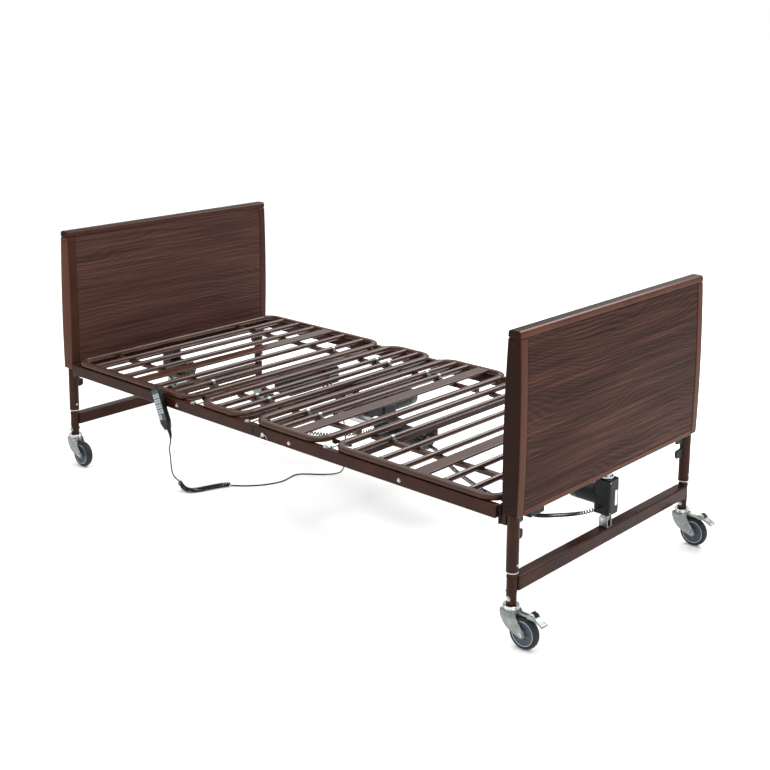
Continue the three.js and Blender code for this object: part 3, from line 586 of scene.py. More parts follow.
def screw_head(shape, origin, axis, radius, material=0):
    """A pan head screw. Its cross recess has the piece's second material: a dark disc of painted shade."""
    r, height = radius, 0.0021
    profile = [(0, 0), (r, 0), (r, 0.0006), (r * 0.8, 0.0016), (r * 0.4, 0.002), (0, height)]
    shape.lathe(profile, origin, axis, 20, material)
    tip = Vector(origin) + Vector(axis) * height
    shape.lathe([(0, 0), (r * 0.38, 0), (r * 0.3, 0.0002), (0, 0.0002)], tip, axis, 4, 1)


def hex_head(shape, origin, axis, radius, height):
    """A hexagon bolt head on its washer, with a chamfered crown."""
    washer_r, washer = radius * 1.35, 0.001
    shape.lathe([(0, 0), (washer_r, 0), (washer_r, washer), (0, washer)], origin, axis, 28)
    top = Vector(origin) + Vector(axis) * washer
    profile = [(0, 0), (radius, 0), (radius, height * 0.8), (radius * 0.86, height), (0, height)]
    shape.lathe(profile, top, axis, 6)


def bowed_bar(x, y0, y1, z0, z1, inset=0.0, steps=BOW_STEPS, side_material=0):
    """A bar with both faces on the bed end's bow. Its two flat sides may have another material."""
    rows = []
    for i in range(steps + 1):
        z = z0 + (z1 - z0) * i / steps
        half = board_half(z) - inset
        rows.append([(x - half, y0, z), (x + half, y0, z), (x + half, y1, z), (x - half, y1, z)])
    shape = Shape().grid(rows)
    shape.materials = [side_material if i % 2 == 0 else 0 for i in range(len(shape.materials))]
    return shape


def make_bed_end(end):
    """A bed end: two posts, a top cap, a bottom rail and the two laminate sheets between them."""
    x, low, surround = ENDS[end] * LEG_X, BOARD_BOTTOM, f"{end}_board_surround"
    for side, sign in SIDES.items():
        inner, outer = sign * (BOARD_HALF - TRIM), sign * BOARD_HALF
        post = bowed_bar(x, inner, outer, low, POST_TOP - SEAM, side_material=1)
        # Painted shade: the head's post fronts and the foot's post sides take darker copies of the edging.
        finishes = [painted_shade_edging, edging] if end == "head" else [edging, deep_painted_shade_edging]
        piece(f"{end}_post_{side}", post, finishes, replaces=[surround], edge=0.005, steps=4)
        screws = Shape()
        for z in (low + 0.028, POST_TOP - 0.016):
            screw_head(screws, (x, outer, z), (0, sign, 0), 0.0048)
        piece(f"{end}_post_screws_{side}", screws, [black, painted_recess_shade_and_print])
    cap = Shape()
    shoulder, slope = board_half(POST_TOP), 0.006
    crown = shoulder - slope
    outline = [
        (x - shoulder, POST_TOP), (x + shoulder, POST_TOP), (x + shoulder, BOARD_TOP - slope),
        (x + crown, BOARD_TOP), (x - crown, BOARD_TOP), (x - shoulder, BOARD_TOP - slope),
    ]
    cap.prism(outline, "y", -BOARD_HALF, BOARD_HALF)
    cap.materials = [0, 0, 0, 1, 0, 0, 1, 1]  # the top and both ends take the deeper painted shade
    # Painted shade: the head's cap band and bottom rail take the darker copy of the edging.
    band = painted_shade_edging if end == "head" else edging
    piece(f"{end}_top_cap", cap, [band, deep_painted_shade_edging], edge=0.005, steps=5)
    span = BOARD_HALF - TRIM - SEAM
    rail = bowed_bar(x, -span, span, low, low + BOTTOM_RAIL - SEAM, 0.0005, 6)
    piece(f"{end}_bottom_rail", rail, band, edge=0.002, steps=3)
    for name, face in (("inner", -ENDS[end]), ("outer", ENDS[end])):
        make_board_panel(end, name, face, x, span)


def make_board_panel(end, name, face, x, span):
    """A laminate sheet, bowed like its surround and set a little below it."""
    z0, z1 = BOARD_BOTTOM + BOTTOM_RAIL, POST_TOP - SEAM
    rows = []
    for i in range(BOW_STEPS + 1):
        z = z0 + (z1 - z0) * i / BOW_STEPS
        outer, inner = board_half(z) - 0.0015, board_half(z) - 0.0095
        corners = ((inner, -span), (outer, -span), (outer, span), (inner, span))
        rows.append([(x + face * h, y, z) for h, y in corners])
    node = f"{end}_board_{name}_panel"
    # The head end takes the painted-light copy of the walnut.
    sheet = painted_light_head_laminate if end == "head" else laminate
    piece(f"{end}_{name}_laminate", Shape().grid(rows), sheet, replaces=[node], edge=0.0008)


# ---- telescopic legs ----

INNER_LEG_R, OUTER_LEG_R, OUTER_LEG_BORE_R = 0.0159, 0.01905, 0.0165
INNER_LEG_BOTTOM, INNER_LEG_TOP = 0.1255, 0.72
OUTER_LEG_BOTTOM, OUTER_LEG_LENGTH = 0.226, 0.704
CROSS_TUBE_BOTTOM, CROSS_TUBE_TOP = 0.745, 0.77
CROSSBAR_BOTTOM, CROSSBAR_TOP = 0.165, 0.21
CROSSBAR_HALF = 0.02
CLEVIS_R, LIFT_EYE_R, LIFT_PIN_Z = 0.015, 0.012, 0.238
BEAD_STEP = 0.0024


def weld_bead(shape, points, radius=0.0022, up=(0, 0, 1), closed=False, material=0):
    """A bead of weld along a line: a rope of small ripples."""
    rows = []
    for i, (point, side, lift) in enumerate(frames_along(points, up, closed)):
        swell = radius * (1 + 0.14 * math.sin(2.1 * i))
        rows.append([point + side * s * swell + lift * t * swell for s, t in circle(1, 8)])
    shape.grid(rows, material, closed=closed)


def ring_points(centre, radius, axis=(0, 0, 1), count=36):
    """A circle about a point, across an axis."""
    turn = Vector((0, 0, 1)).rotation_difference(Vector(axis)).to_matrix()
    return [Vector(centre) + turn @ Vector((u, v, 0)) for u, v in circle(radius, count)]


def make_leg_frame(end):
    """The inner legs with their crossbar, and the clevis on it that the lift motor stands in."""
    x = ENDS[end] * LEG_X
    shape = Shape()
    for sign in (-1, 1):
        y = sign * LEG_Y
        shape.bar((x, y, INNER_LEG_BOTTOM), (x, y, INNER_LEG_TOP), INNER_LEG_R, 48, edge=0.001)
        for z in (CROSSBAR_BOTTOM, CROSSBAR_TOP):
            weld_bead(shape, ring_points((x, y, z), INNER_LEG_R), 0.0018, up=None, closed=True)
    bolts = Shape()
    for sign in (-1, 1):
        for toward in (-1, 1):
            hex_head(bolts, (x, sign * LEG_Y + toward * 0.0156, 0.1445), (0, toward, 0), 0.0058, 0.005)
    piece(f"{end}_caster_bolts", bolts, bolt_steel, leg_body(end))
    piece(f"{end}_inner_legs", shape, steel, leg_body(end), replaces=[f"{end}_leg_frame"])
    left, right, foot = x - CLEVIS_R, x + CLEVIS_R, CROSSBAR_TOP - 0.001
    clevis = Shape().block((left, -0.014, CROSSBAR_TOP - 0.0005), (right, 0.014, CROSSBAR_TOP + 0.003))
    for y in (-0.0115, 0.0115):
        outline = [(left, foot), (right, foot)] + arc((x, LIFT_PIN_Z), CLEVIS_R, 0, math.pi, 15)
        clevis.prism(outline, "y", y - 0.0025, y + 0.0025)
    piece(f"{end}_clevis", clevis, zinc, leg_body(end))
    half, reach = CROSSBAR_HALF, LEG_Y - 0.011
    bar = Shape().block((x - half, -reach, CROSSBAR_BOTTOM), (x + half, reach, CROSSBAR_TOP))
    piece(f"{end}_crossbar", bar, steel, leg_body(end), edge=0.005, steps=4)
    pin = Shape().bar((x, -0.0175, LIFT_PIN_Z), (x, 0.0165, LIFT_PIN_Z), 0.005, 24)
    for sign in (1, -1):
        hex_head(pin, (x, sign * 0.0142, LIFT_PIN_Z), (0, sign, 0), 0.0075, 0.0026)
    piece(f"{end}_lift_bolt", pin, bolt_steel, leg_body(end))


def leg_body(end):
    return "head_legs" if end == "head" else "foot_legs"


BRACKET_BOTTOM, BRACKET_TOP = 0.318, 0.397
BRACKET_REACH = {"head_right": 0.024, "head_left": 0.024, "foot_right": 0.024, "foot_left": 0.046}
STUD_Z = 0.38


def make_outer_legs(end):
    """The tubes that carry a bed end and slide over the inner legs, with the brackets on them."""
    x, inward = ENDS[end] * LEG_X, -ENDS[end]
    tubes, plates, fittings, bushes = Shape(), Shape(), Shape(), Shape()
    for side, sign in SIDES.items():
        y = sign * LEG_Y
        tube = [
            (OUTER_LEG_BORE_R, 0), (OUTER_LEG_R - 0.0007, 0), (OUTER_LEG_R, 0.0007),
            (OUTER_LEG_R, OUTER_LEG_LENGTH - 0.001), (OUTER_LEG_BORE_R, OUTER_LEG_LENGTH),
        ]
        tubes.lathe(tube, (x, y, OUTER_LEG_BOTTOM), sides=48, loop=True)
        bush = [(0.0163, 0), (0.0188, 0), (0.0195, 0.0006), (0.0195, 0.0018)]
        bush += [(0.019, 0.0024), (0.0163, 0.0024)]
        bushes.lathe(bush, (x, y, OUTER_LEG_BOTTOM - 0.0022), sides=48, loop=True)
        button = [(0, 0), (0.0046, 0), (0.0046, 0.001), (0.003, 0.0022), (0, 0.0026)]
        fittings.lathe(button, (x + OUTER_LEG_R - 0.0003, y, 0.25), (1, 0, 0), 20)
        reach = BRACKET_REACH[f"{end}_{side}"]
        weld, tip = LEG_Y - 0.0176, LEG_Y - OUTER_LEG_R - reach
        notch = tip + reach - 0.008
        outline = [
            (weld, BRACKET_BOTTOM), (tip + 0.006, BRACKET_BOTTOM), (tip, 0.326), (tip, 0.346),
            (notch, 0.35), (notch, 0.368), (tip, 0.372), (tip, 0.389), (tip + 0.006, BRACKET_TOP),
            (weld, BRACKET_TOP),
        ]
        plates.prism([(sign * v, z) for v, z in outline], "x", x - 0.004, x + 0.004, 1)
        for face in (-1, 1):
            line = [(x + face * 0.0045, sign * (weld + 0.0005), 0.322 + BEAD_STEP * i) for i in range(31)]
            weld_bead(fittings, line, 0.002, (face, 0, 0), material=1)
        near = -inward * 1.0564
        plates.block((near, sign * 0.489, 0.366), (x + inward * 0.0176, sign * 0.515, BRACKET_TOP))
        fittings.bar((near - inward * 0.002, y, STUD_Z), (near + inward * 0.0155, y, STUD_Z), 0.005, 24)
        hex_head(fittings, (near + inward * 0.0098, y, STUD_Z), (inward, 0, 0), 0.0078, 0.0048)
    reach = LEG_Y - 0.0176
    plates.block((x - 0.01, -reach, CROSS_TUBE_BOTTOM), (x + 0.01, reach, CROSS_TUBE_TOP))
    piece(f"{end}_outer_legs", tubes, steel, replaces=[f"{end}_board_frame"])
    if end == "foot":
        socket_end = -LEG_Y + OUTER_LEG_R + 0.12
        plates.block((x - 0.0085, -reach, 0.3895), (x + 0.0085, socket_end - 0.07, 0.3965), 1)
        plates.block((x - 0.012, socket_end - 0.072, 0.374), (x + 0.012, socket_end, BRACKET_TOP), 1)
    piece(f"{end}_leg_brackets", plates, [steel, black], edge=0.0012)
    piece(f"{end}_leg_fittings", fittings, [bolt_steel, steel])
    piece(f"{end}_leg_bushes", bushes, nylon)


# ---- motors ----


def upright_body(shape, low, high, radius):
    """A moulded housing with round corners and a parting line round its middle."""
    (x0, y0, z0), (x1, y1, z1) = low, high
    cx, cy, hx, hy = (x0 + x1) / 2, (y0 + y1) / 2, (x1 - x0) / 2, (y1 - y0) / 2
    mid = (z0 + z1) / 2
    profile = [
        (0.004, z0), (0.0012, z0 + 0.0012), (0, z0 + 0.004), (0, mid - 0.0008), (0.0009, mid - 0.0004),
        (0.0009, mid + 0.0004), (0, mid + 0.0008), (0, z1 - 0.004), (0.0012, z1 - 0.0012), (0.004, z1),
    ]
    rows = []
    for inset, z in profile:
        outline = rounded(hx - inset, hy - inset, max(radius - inset, 0.001), 6)
        rows.append([(cx + u, cy + v, z) for u, v in outline])
    shape.grid(rows)


def motor_can(shape, start, axis, length, radius):
    """A motor's round body: a can with a rolled seam, and an end cap that has the second material."""
    body = length * 0.72
    profile = [
        (0, 0), (radius - 0.001, 0), (radius - 0.0004, body * 0.08), (radius - 0.0016, body * 0.1),
        (radius - 0.0016, body * 0.12), (radius - 0.0004, body * 0.14), (radius - 0.0004, body), (0, body),
    ]
    shape.lathe(profile, start, axis, 56)
    top = Vector(start) + Vector(axis) * body
    rest = length - body
    rim = [
        (0, 0), (radius, 0), (radius, rest * 0.75), (radius - 0.002, rest * 0.92), (radius - 0.006, rest),
        (radius * 0.45, rest), (radius * 0.42, rest - 0.002), (0, rest - 0.002),
    ]
    shape.lathe(rim, top, axis, 56, 1)


LIFT_HALF, LIFT_BOTTOM, LIFT_TOP = 0.03, 0.258, 0.376


def make_lift(end):
    """An upright lift motor, with the tube that goes up into the bed end."""
    x, inward, body = ENDS[end] * LEG_X, -ENDS[end], leg_body(end)
    half = LIFT_HALF
    shape = Shape()
    upright_body(shape, (x - half, -half, LIFT_BOTTOM), (x + half, half, LIFT_TOP), 0.009)
    motor_can(shape, (x + inward * 0.02, 0, 0.312), (inward, 0, 0), 0.107, 0.033)
    for i in range(6):
        z = 0.276 + 0.014 * i
        shape.block((x - inward * 0.0285, -0.022, z), (x - inward * 0.0299, 0.022, z + 0.003), 1)
    piece(f"{end}_lift_motor", shape, [black, black_gloss], body, replaces=[f"{end}_lift_housing"])
    plate = Shape().block((x + 0.0297, 0.004, 0.287), (x + 0.0303, 0.018, 0.337))
    piece(f"{end}_lift_blank_plate", plate, nylon, body, edge=0.0002)
    outline = [(x + LIFT_EYE_R, 0.262), (x - LIFT_EYE_R, 0.262)]
    outline += arc((x, LIFT_PIN_Z), -LIFT_EYE_R, 0, math.pi, 15)
    eye = Shape().prism(outline, "y", -0.0085, 0.0085)
    piece(f"{end}_lift_eye", eye, zinc, body, edge=0.001)
    tube = Shape()
    wall = [(0.0108, 0), (0.016, 0), (0.016, 0.322), (0.0155, 0.325), (0.0108, 0.325)]
    collar = [(0.0161, 0), (0.021, 0), (0.022, 0.002), (0.022, 0.008), (0.0205, 0.0105), (0.0161, 0.0105)]
    for profile in (wall, collar):
        tube.lathe(profile, (x, 0, LIFT_TOP - 0.001), sides=48, loop=True)
    piece(f"{end}_lift_tube", tube, aluminium, body)
    rod = Shape().bar((x, 0, 0.42), (x, 0, 0.7447), 0.01, 40)
    piece(f"{end}_lift_inner_rod", rod, bolt_steel, replaces=[f"{end}_lift_rod"])
    screws = Shape()
    for y in (-0.022, 0.022):
        for z in (0.2655, 0.3685):
            for face in (-1, 1):
                screw_head(screws, (x + face * 0.0282, y, z), (face, 0, 0), 0.0032)
    piece(f"{end}_lift_screws", screws, [bolt_steel, painted_recess_shade_and_print], body)


for end in ENDS:
    make_bed_end(end)
    make_leg_frame(end)
    make_outer_legs(end)
    make_lift(end)


# ---- deck frame ----

RAIL_IN, RAIL_OUT = 0.51, 0.535
RAIL_BOTTOM, RAIL_TOP = 0.386, 0.4265
RAIL_END, SPLIT = 1.05, 0.009
MEMBER_BOTTOM, MEMBER_TOP, MEMBER_WIDTH = 0.3865, 0.4115, 0.025
MEMBERS = {"head": (-1.05, -0.46, -0.145), "foot": (0.02, 0.4, 1.025)}
BACK_PIVOT, THIGH_PIVOT, KNEE_PIVOT, PIVOT_Z = -0.326, -0.035, 0.345, 0.42
LOCK_PIN_X, PIN_Z = 0.06, 0.405
BACK_MOTOR_Y, THIGH_MOTOR_Y, THRUST_Z = 0.13, -0.05, 0.344
HANGER_HALF, HANGER_TOP = 0.01, 0.3875


def make_deck_frame(half, low_x, high_x):
    """One half of the deck's frame: rails, cross members, end plates, welds and the rails' plugs."""
    rails, members, plates, welds = Shape(), Shape(), Shape(), Shape()
    end_x = low_x if half == "head" else high_x
    toward = ENDS[half]
    for side, sign in SIDES.items():
        rails.block((low_x, sign * RAIL_IN, RAIL_BOTTOM), (high_x, sign * RAIL_OUT, RAIL_TOP))
        plates.block((toward * 1.049, sign * 0.486, 0.366), (toward * 1.056, sign * 0.52, RAIL_TOP))
        for x in MEMBERS[half]:
            for edge in (x, x + MEMBER_WIDTH):
                first = MEMBER_BOTTOM + 0.0008
                bead = [(edge, sign * (RAIL_IN - 0.001), first + BEAD_STEP * i) for i in range(10)]
                weld_bead(welds, bead, 0.0022, (-1, 0, 0))
        inside, outside = end_x - toward * 0.004, end_x + toward * 0.0008
        plug = Shape().block((inside, sign * 0.5125, 0.389), (outside, sign * 0.5325, 0.4235))
        piece(f"{half}_rail_plug_{side}", plug, black, edge=0.0008)
    for x in MEMBERS[half]:
        members.block((x, -RAIL_IN, MEMBER_BOTTOM), (x + MEMBER_WIDTH, RAIL_IN, MEMBER_TOP))
    piece(f"{half}_rails", rails, steel, replaces=[f"{half}_deck_frame"], edge=0.0035, steps=4)
    piece(f"{half}_cross_members", members, steel, edge=0.003, steps=4)
    piece(f"{half}_end_plates", plates, steel, edge=0.0015)
    piece(f"{half}_frame_welds", welds, steel)


def make_frame_fittings():
    """Spigots between the halves, motor hangers, hinge bushes, bolts and the handset's peg."""
    spigots, hangers, bolts = Shape(), Shape(), Shape()
    for sign in (-1, 1):
        spigots.block((SPLIT - 0.002, sign * 0.5145, 0.391), (0.09, sign * 0.5305, 0.422))
        for x in (0.677, 0.187, -0.399):
            hex_head(bolts, (x, sign * RAIL_OUT, PIN_Z), (0, sign, 0), 0.005, 0.004)
        for x in (BACK_PIVOT, THIGH_PIVOT, KNEE_PIVOT):
            hex_head(bolts, (x, sign * 0.5225, RAIL_TOP), (0, 0, 1), 0.0068, 0.0055)
        for x in (BACK_PIVOT, THIGH_PIVOT):
            bush = [(0, 0), (0.0085, 0), (0.0085, 0.0016), (0.0055, 0.0022), (0, 0.0022)]
            bolts.lathe(bush, (x, sign * RAIL_IN, PIVOT_Z), (0, -sign, 0), 28)
    for x0, x1, y, bottom in (
        (-0.143, -0.122, BACK_MOTOR_Y, 0.3605),
        (0.022, 0.043, BACK_MOTOR_Y, 0.3745),
        (0.022, 0.043, THIGH_MOTOR_Y, 0.3605),
    ):
        hangers.block((x0, y - HANGER_HALF, bottom), (x1, y + HANGER_HALF, HANGER_TOP))
    peg = Shape().bar((-0.469, -RAIL_OUT + 0.002, 0.4), (-0.469, -RAIL_OUT - 0.006, 0.4), 0.004, 20)
    piece("rail_spigots", spigots, steel, edge=0.002)
    piece("motor_hangers", hangers, steel, edge=0.0012)
    piece("rail_bolts", bolts, bolt_steel)
    piece("handset_peg", peg, bolt_steel)


def make_lock_pin(side):
    """The pin that holds the two halves of the frame together, with its pull ring."""
    sign = SIDES[side]
    shape = Shape()
    shape.bar((LOCK_PIN_X, sign * 0.506, PIN_Z), (LOCK_PIN_X, sign * 0.5365, PIN_Z), 0.004, 24)
    head = [(0, 0), (0.0078, 0), (0.0078, 0.0038), (0.006, 0.0058), (0.0025, 0.006), (0, 0.006)]
    shape.lathe(head, (LOCK_PIN_X, sign * 0.5353, PIN_Z), (0, sign, 0), 32)
    ring = ring_points((LOCK_PIN_X + 0.0065, sign * 0.5385, 0.3893), 0.0165, (0, 1, 0), 48)
    shape.sweep(ring, circle(0.0009, 8), closed=True)
    piece(f"lock_pin_{side}_looks", shape, bolt_steel, f"pin_{side}", replaces=[f"lock_pin_{side}"])


# ---- deck sections ----

RING_HALF, RING_BOTTOM, RING_TOP, RING_TUBE, RING_CORNER = 0.53, 0.427, 0.447, 0.025, 0.065
SLAT_R, SLAT_Z = 0.0095, 0.437
STRINGER_Y, STRINGER_HALF, STRINGER_BOTTOM, STRINGER_TOP = 0.325, 0.01, 0.414, 0.4285
# Each section's two ends, its round slats and its flat slats, all along the bed.
SECTIONS = {
    "back": (-1.045, -0.345, (-0.934, -0.838, -0.743, -0.557, -0.448), (-0.651,)),
    "seat": (-0.3, -0.06, (-0.205, -0.14), ()),
    "thigh": (-0.01, 0.32, (0.06, 0.12), (0.2,)),
    "calf": (0.37, 1.05, (0.46, 0.571, 0.665, 0.836, 0.935), (0.744,)),
}
CLIPPED_SLATS = {"back": (-0.448,), "seat": (-0.205, -0.14), "thigh": (0.06, 0.12), "calf": (0.46,)}
# Each hinge lug's pivot, where it joins the section, and how far from the bed's middle it is.
LUGS = {
    "back": [(BACK_PIVOT, -0.357, 0.45)],
    "seat": [],
    "thigh": [(THIGH_PIVOT, 0.002, 0.45), (KNEE_PIVOT, 0.308, 0.45)],
    "calf": [(KNEE_PIVOT, 0.382, 0.438)],
}


def ring_path(x0, x1, half, corner):
    """A rounded rectangle lying flat, anticlockwise seen from above."""
    near, far, side = x0 + corner, x1 - corner, half - corner
    height = (RING_BOTTOM + RING_TOP) / 2
    path = []
    for cx, cy, start in ((far, -side, -90), (far, side, 0), (near, side, 90), (near, -side, 180)):
        for i in range(13):
            angle = math.radians(start + 90 * i / 12)
            path.append((cx + corner * math.cos(angle), cy + corner * math.sin(angle), height))
    return path


def slat_clip(shape, x, y):
    """A bright saddle over a slat where it crosses a stringer, with a bolt through each foot."""
    radius, bottom = SLAT_R + 0.0012, 0.4288
    arch = [(radius, bottom)] + arc((0, SLAT_Z), radius, 0, math.pi, 13) + [(-radius, bottom)]
    inside = [(u * 0.88, min(v, SLAT_Z + (v - SLAT_Z) * 0.88)) for u, v in reversed(arch)]
    shape.prism([(x + u, v) for u, v in arch + inside], "y", y - 0.007, y + 0.007)
    for sign in (-1, 1):
        foot = x + sign * (SLAT_R + 0.006)
        shape.block((foot - 0.0062, y - 0.007, 0.4284), (foot + 0.0062, y + 0.007, 0.4299))
        hex_head(shape, (foot + sign * 0.001, y, 0.4298), (0, 0, 1), 0.0036, 0.003)


def make_section(name):
    """A deck section: a bent tube ring with slats, two stringers under them, clips and hinge lugs."""
    x0, x1, slats, flat_slats = SECTIONS[name]
    body = "bed_frame" if name == "seat" else name
    centre = RING_TUBE / 2
    section = rounded(RING_TUBE / 2, (RING_TOP - RING_BOTTOM) / 2, 0.0085, 5)
    path = ring_path(x0 + centre, x1 - centre, RING_HALF - centre, RING_CORNER - centre)
    ring = Shape().sweep(path, section, up=(0, 0, 1), closed=True)
    # The deck's ring, slats, stringers, welds and clips' sections take the painted-light copy of the brown
    # steel.
    piece(f"{name}_ring", ring, painted_light_deck_steel, body, replaces=[f"{name}_section"])
    bars, welds, flats = Shape(), Shape(), Shape()
    reach = RING_HALF - 0.014
    for x in slats:
        bars.bar((x, -reach, SLAT_Z), (x, reach, SLAT_Z), SLAT_R, 32)
        for sign in (-1, 1):
            mouth = (x, sign * (RING_HALF - RING_TUBE - 0.0003), SLAT_Z)
            weld_bead(welds, ring_points(mouth, SLAT_R, (0, 1, 0), 26), 0.0014, up=None, closed=True)
    for x in flat_slats:
        flats.block((x - 0.027, -reach, SLAT_Z), (x + 0.027, reach, 0.4455))
    piece(f"{name}_slats", bars, painted_light_deck_steel, body)
    if flat_slats:
        piece(f"{name}_flat_slat", flats, painted_light_deck_steel, body, edge=0.0025, steps=4)
    stringers = Shape()
    for sign in (-1, 1):
        inner, outer = sign * (STRINGER_Y - STRINGER_HALF), sign * (STRINGER_Y + STRINGER_HALF)
        stringers.block((x0 + 0.003, inner, STRINGER_BOTTOM), (x1 - 0.003, outer, STRINGER_TOP))
        for x in slats:
            for edge in (-0.0101, 0.0101):
                y = sign * STRINGER_Y + edge
                bead = [(x - 0.0055 + 0.0022 * i, y, STRINGER_TOP + 0.0002) for i in range(6)]
                weld_bead(welds, bead, 0.0015)
    piece(f"{name}_stringers", stringers, painted_light_deck_steel, body, edge=0.002, steps=3)
    piece(f"{name}_welds", welds, painted_light_deck_steel, body)
    clips = Shape()
    for x in CLIPPED_SLATS[name]:
        for sign in (-1, 1):
            slat_clip(clips, x, sign * STRINGER_Y)
    if CLIPPED_SLATS[name]:
        piece(f"{name}_slat_clips", clips, zinc, body)
    lugs = Shape()
    for pivot, ring_x, y in LUGS[name]:
        for sign in (-1, 1):
            toward = 1 if ring_x > pivot else -1
            turns = np.linspace(math.pi / 2, 3 * math.pi / 2, 15)
            eye = [(pivot + toward * 0.01 * math.cos(a), PIVOT_Z + 0.01 * math.sin(a)) for a in turns]
            outline = eye + [(ring_x, 0.4155), (ring_x, 0.4305), (pivot + toward * 0.009, 0.4305)]
            lugs.prism(outline, "y", sign * y - 0.003, sign * y + 0.003)
    if LUGS[name]:
        piece(f"{name}_lugs", lugs, steel, body, edge=0.0007)


LEVER_REACH = PIVOT_Z - THRUST_Z
BACK_TILT, THIGH_TILT = math.radians(-32.5), math.radians(17.5)
LEVER_EYE_R, LEVER_HALF = 0.012, 0.002


def lever_plate(shape, pivot_x, y, tilt, slot_radius):
    """A slotted lever that hangs from a hinge rod: a flat plate with a long hole."""
    far, near = LEVER_REACH / math.cos(tilt) + 0.0015, 0.0745

    def loop(top_z, top_r, low_z, low_r):
        return arc((0, top_z), top_r, 0, math.pi, 14) + arc((0, low_z), low_r, math.pi, 2 * math.pi, 14)

    outer = loop(0, LEVER_EYE_R, -far, slot_radius + 0.0065)
    inner = loop(-near, slot_radius, -far, slot_radius)
    c, s = math.cos(tilt), math.sin(tilt)
    rows = []
    for points, side in ((outer, -1), (outer, 1), (inner, 1), (inner, -1)):
        at = y + side * LEVER_HALF
        rows.append([(pivot_x + u * c + v * s, at, PIVOT_Z - u * s + v * c) for u, v in points])
    shape.grid(rows, closed=True)


def make_driven_rod(name, pivot_x, motor_y, tilt, slot_radius):
    """A hinge rod with the pair of levers that a motor pushes."""
    rod = Shape().bar((pivot_x, -0.517, PIVOT_Z), (pivot_x, 0.517, PIVOT_Z), 0.005, 28)
    piece(f"{name}_hinge_bar", rod, bolt_steel, name, replaces=[f"{name}_hinge_rod"])
    levers = Shape()
    for sign in (-1, 1):
        lever_plate(levers, pivot_x, motor_y + sign * 0.0115, tilt, slot_radius)
        ring = ring_points((pivot_x, motor_y + sign * 0.0138, PIVOT_Z), 0.0055, (0, 1, 0), 24)
        weld_bead(levers, ring, 0.0014, up=None, closed=True)
    piece(f"{name}_levers", levers, steel, name, edge=0.0006)


def make_thrust_rod(name, pivot_x, tilt, end_x, y):
    """The rod that a motor pushes out, with the eye and pin that work the levers."""
    pin_x, z, body = pivot_x - LEVER_REACH * math.tan(tilt), THRUST_Z, f"{name}_thrust"
    shaft = Shape().bar((pin_x + 0.008, y, z), (end_x, y, z), 0.0086, 40)
    piece(f"{name}_thrust_shaft", shaft, aluminium, body, replaces=[f"{name}_thrust_rod"])
    eye = Shape().block((pin_x - 0.01, y - 0.0088, z - 0.01), (pin_x + 0.01, y + 0.0088, z + 0.01))
    piece(f"{name}_thrust_eye", eye, zinc, body, edge=0.002, steps=3)
    pin = Shape().bar((pin_x, y - 0.016, z), (pin_x, y + 0.016, z), 0.005, 24)
    piece(f"{name}_thrust_pin", pin, bolt_steel, body)


# ---- back and knee motors, control box ----

MOTOR_LOOKS = [black, black_gloss, bolt_steel]


def lid_screws(shape, places, z, up, radius):
    """A screw at each place on a lid, facing up or, where up is -1, down."""
    for x, y in places:
        screw_head(shape, (x, y, z), (0, 0, up), radius, 2)


def make_back_motor():
    """The back motor, with the box beside it that its cord goes into."""
    y = BACK_MOTOR_Y
    shape = Shape()
    upright_body(shape, (-0.03, y - 0.038, 0.306), (0.05, y + 0.038, 0.374), 0.01)
    motor_can(shape, (0.01, y + 0.034, 0.339), (0, 1, 0), 0.141, 0.032)
    upright_body(shape, (-0.1, 0.002, 0.322), (0.045, y - 0.0335, 0.374), 0.006)
    gland = [(0, 0), (0.0045, 0), (0.006, 0.004), (0.006, 0.012), (0, 0.012)]
    shape.lathe(gland, (-0.111, 0.062, 0.345), (1, 0, 0), 28)
    corners = [(x, y + side) for x in (-0.024, 0.044) for side in (-0.026, 0.026)]
    lid_screws(shape, corners, 0.3735, 1, 0.0032)
    piece("back_motor", shape, MOTOR_LOOKS, replaces=["back_actuator_housing"])
    outer_tube("back_motor_tube", -0.18, -0.028, y)


def make_thigh_motor():
    """The knee motor, with the ear that hangs it from its cross member."""
    y = THIGH_MOTOR_Y
    shape = Shape()
    upright_body(shape, (0.16, y - 0.04, 0.304), (0.24, y + 0.04, 0.376), 0.01)
    motor_can(shape, (0.238, y, 0.338), (1, 0, 0), 0.157, 0.033)
    corners = [(x, y + side) for x in (0.168, 0.232) for side in (-0.028, 0.028)]
    lid_screws(shape, corners, 0.3755, 1, 0.0032)
    piece("thigh_motor", shape, MOTOR_LOOKS, replaces=["thigh_actuator_housing"])
    ear = Shape().block((0.376, y - 0.012, 0.36), (0.424, y + 0.012, 0.386))
    piece("thigh_motor_ear", ear, steel, edge=0.002)
    outer_tube("thigh_motor_tube", 0.02, 0.163, y)


def outer_tube(name, x0, x1, y):
    """The tube a thrust rod slides out of, with a black wiper ring at its mouth."""
    bore, length = 0.0095, x1 - x0
    wall = [(bore, 0), (0.0153, 0), (0.016, 0.0008), (0.016, length), (bore, length)]
    wiper = [(bore, 0), (0.0152, 0), (0.0152, -0.0006), (bore, -0.0006)]
    shape = Shape()
    for material, profile in enumerate((wall, wiper)):
        shape.lathe(profile, (x0, y, THRUST_Z), (1, 0, 0), 48, material, loop=True)
    piece(name, shape, [aluminium, black])


